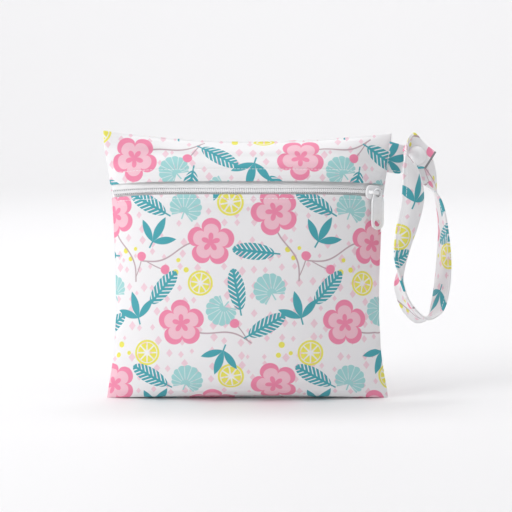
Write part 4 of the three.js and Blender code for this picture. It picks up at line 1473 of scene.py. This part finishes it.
face_top = STRAP_THICK / 2
under_top = face_top - layer_gap
under_bottom = -face_top - layer_gap
stud = SNAP_STUD / 2
stud_low = under_top + GAP
stud_high = -face_top - GAP
stud_profile = [
    (0, stud_low),
    (stud - STUD_BEVEL, stud_low),
    (stud, stud_low + STUD_BEVEL),
    (stud, stud_high - STUD_BEVEL),
    (stud - STUD_BEVEL, stud_high),
    (0, stud_high),
]
SNAP_PIECES = (  # piece, node, profile
    ("snap_cap_dome", "snap_cap", domed(SNAP_CAP / 2, face_top + GAP, SNAP_DOME, -face_top)),
    ("snap_stud_disc", "snap_stud", stud_profile),
    ("snap_back_dome", "snap_back_cap", domed(SNAP_BACK / 2, under_bottom - GAP, -SNAP_DOME, under_top)),
)
for name, node, profile in SNAP_PIECES:
    snap = turned_mesh(name, profile)
    snap.data.transform(snap_place)
    snap.data.set_sharp_from_angle(angle=math.radians(SHARP))
    snap.data.materials.append(snap_plastic)
    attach(snap, "pouch")
    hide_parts(node)

# Studio
# A pale seamless floor that curves up all round, one large soft light from the upper left, and the
# camera at the height and distance of a table-top shot.
FLOOR_RADIUS = 2200
SWEEP = 1200
SWEEP_HEIGHT = 2000
SWEEP_STEPS = 16
FLOOR_WHITE = (0.9, 0.895, 0.9)
ROOM_LIGHT = (0.97, 0.975, 1.0)
ROOM_STRENGTH = 0.36
CAMERA_AT = (0.0057, -0.9157, 0.2004)
CAMERA_PITCH = 83.52
CAMERA_LENS = 96.6
CAMERA_SENSOR = 36
CAMERA_NEAR = 0.01
bends = np.linspace(0, math.pi / 2, SWEEP_STEPS + 1)
sweep = [(FLOOR_RADIUS + SWEEP * math.sin(a), SWEEP - SWEEP * math.cos(a)) for a in bends]
floor = turned_mesh("floor", [(0, 0), *sweep, (FLOOR_RADIUS + SWEEP, SWEEP_HEIGHT)])
floor_paint, s, shader = new_material("floor_paint", roughness=0.6)
shader.inputs["Base Color"].default_value = (*FLOOR_WHITE, 1)
floor.data.materials.append(floor_paint)

world = bpy.data.worlds.new("studio")
world.use_nodes = True
room = world.node_tree.nodes["Background"]
room.inputs["Color"].default_value = (*ROOM_LIGHT, 1)
room.inputs["Strength"].default_value = ROOM_STRENGTH
bpy.context.scene.world = world
LIGHTS = (  # name, place, aimed at, size, watts
    ("key", (-1.5, -0.62, 0.78), (0, 0, 0.08), 0.8, 15),
    ("overhead", (0.1, -0.2, 2.4), (0, 0, 0), 2.2, 23),
    ("backdrop", (0, 0.9, 2.6), (0, 3.2, 0.9), 2.0, 39),
)
for name, place, aim, size, watts in LIGHTS:
    lamp = bpy.data.lights.new(name, "AREA")
    lamp.size = size
    lamp.energy = watts
    light = bpy.data.objects.new(name, lamp)
    light.location = place
    light.rotation_euler = (Vector(aim) - Vector(place)).to_track_quat("-Z", "Y").to_euler()
    bpy.context.scene.collection.objects.link(light)
camera_data = bpy.data.cameras.new("camera")
camera_data.lens = CAMERA_LENS
camera_data.sensor_width = CAMERA_SENSOR
camera_data.clip_start = CAMERA_NEAR
camera = bpy.data.objects.new("camera", camera_data)
camera.location = CAMERA_AT
camera.rotation_euler = (math.radians(CAMERA_PITCH), 0, 0)
bpy.context.scene.collection.objects.link(camera)
bpy.context.scene.camera = camera
bpy.context.scene.view_settings.view_transform = "Standard"
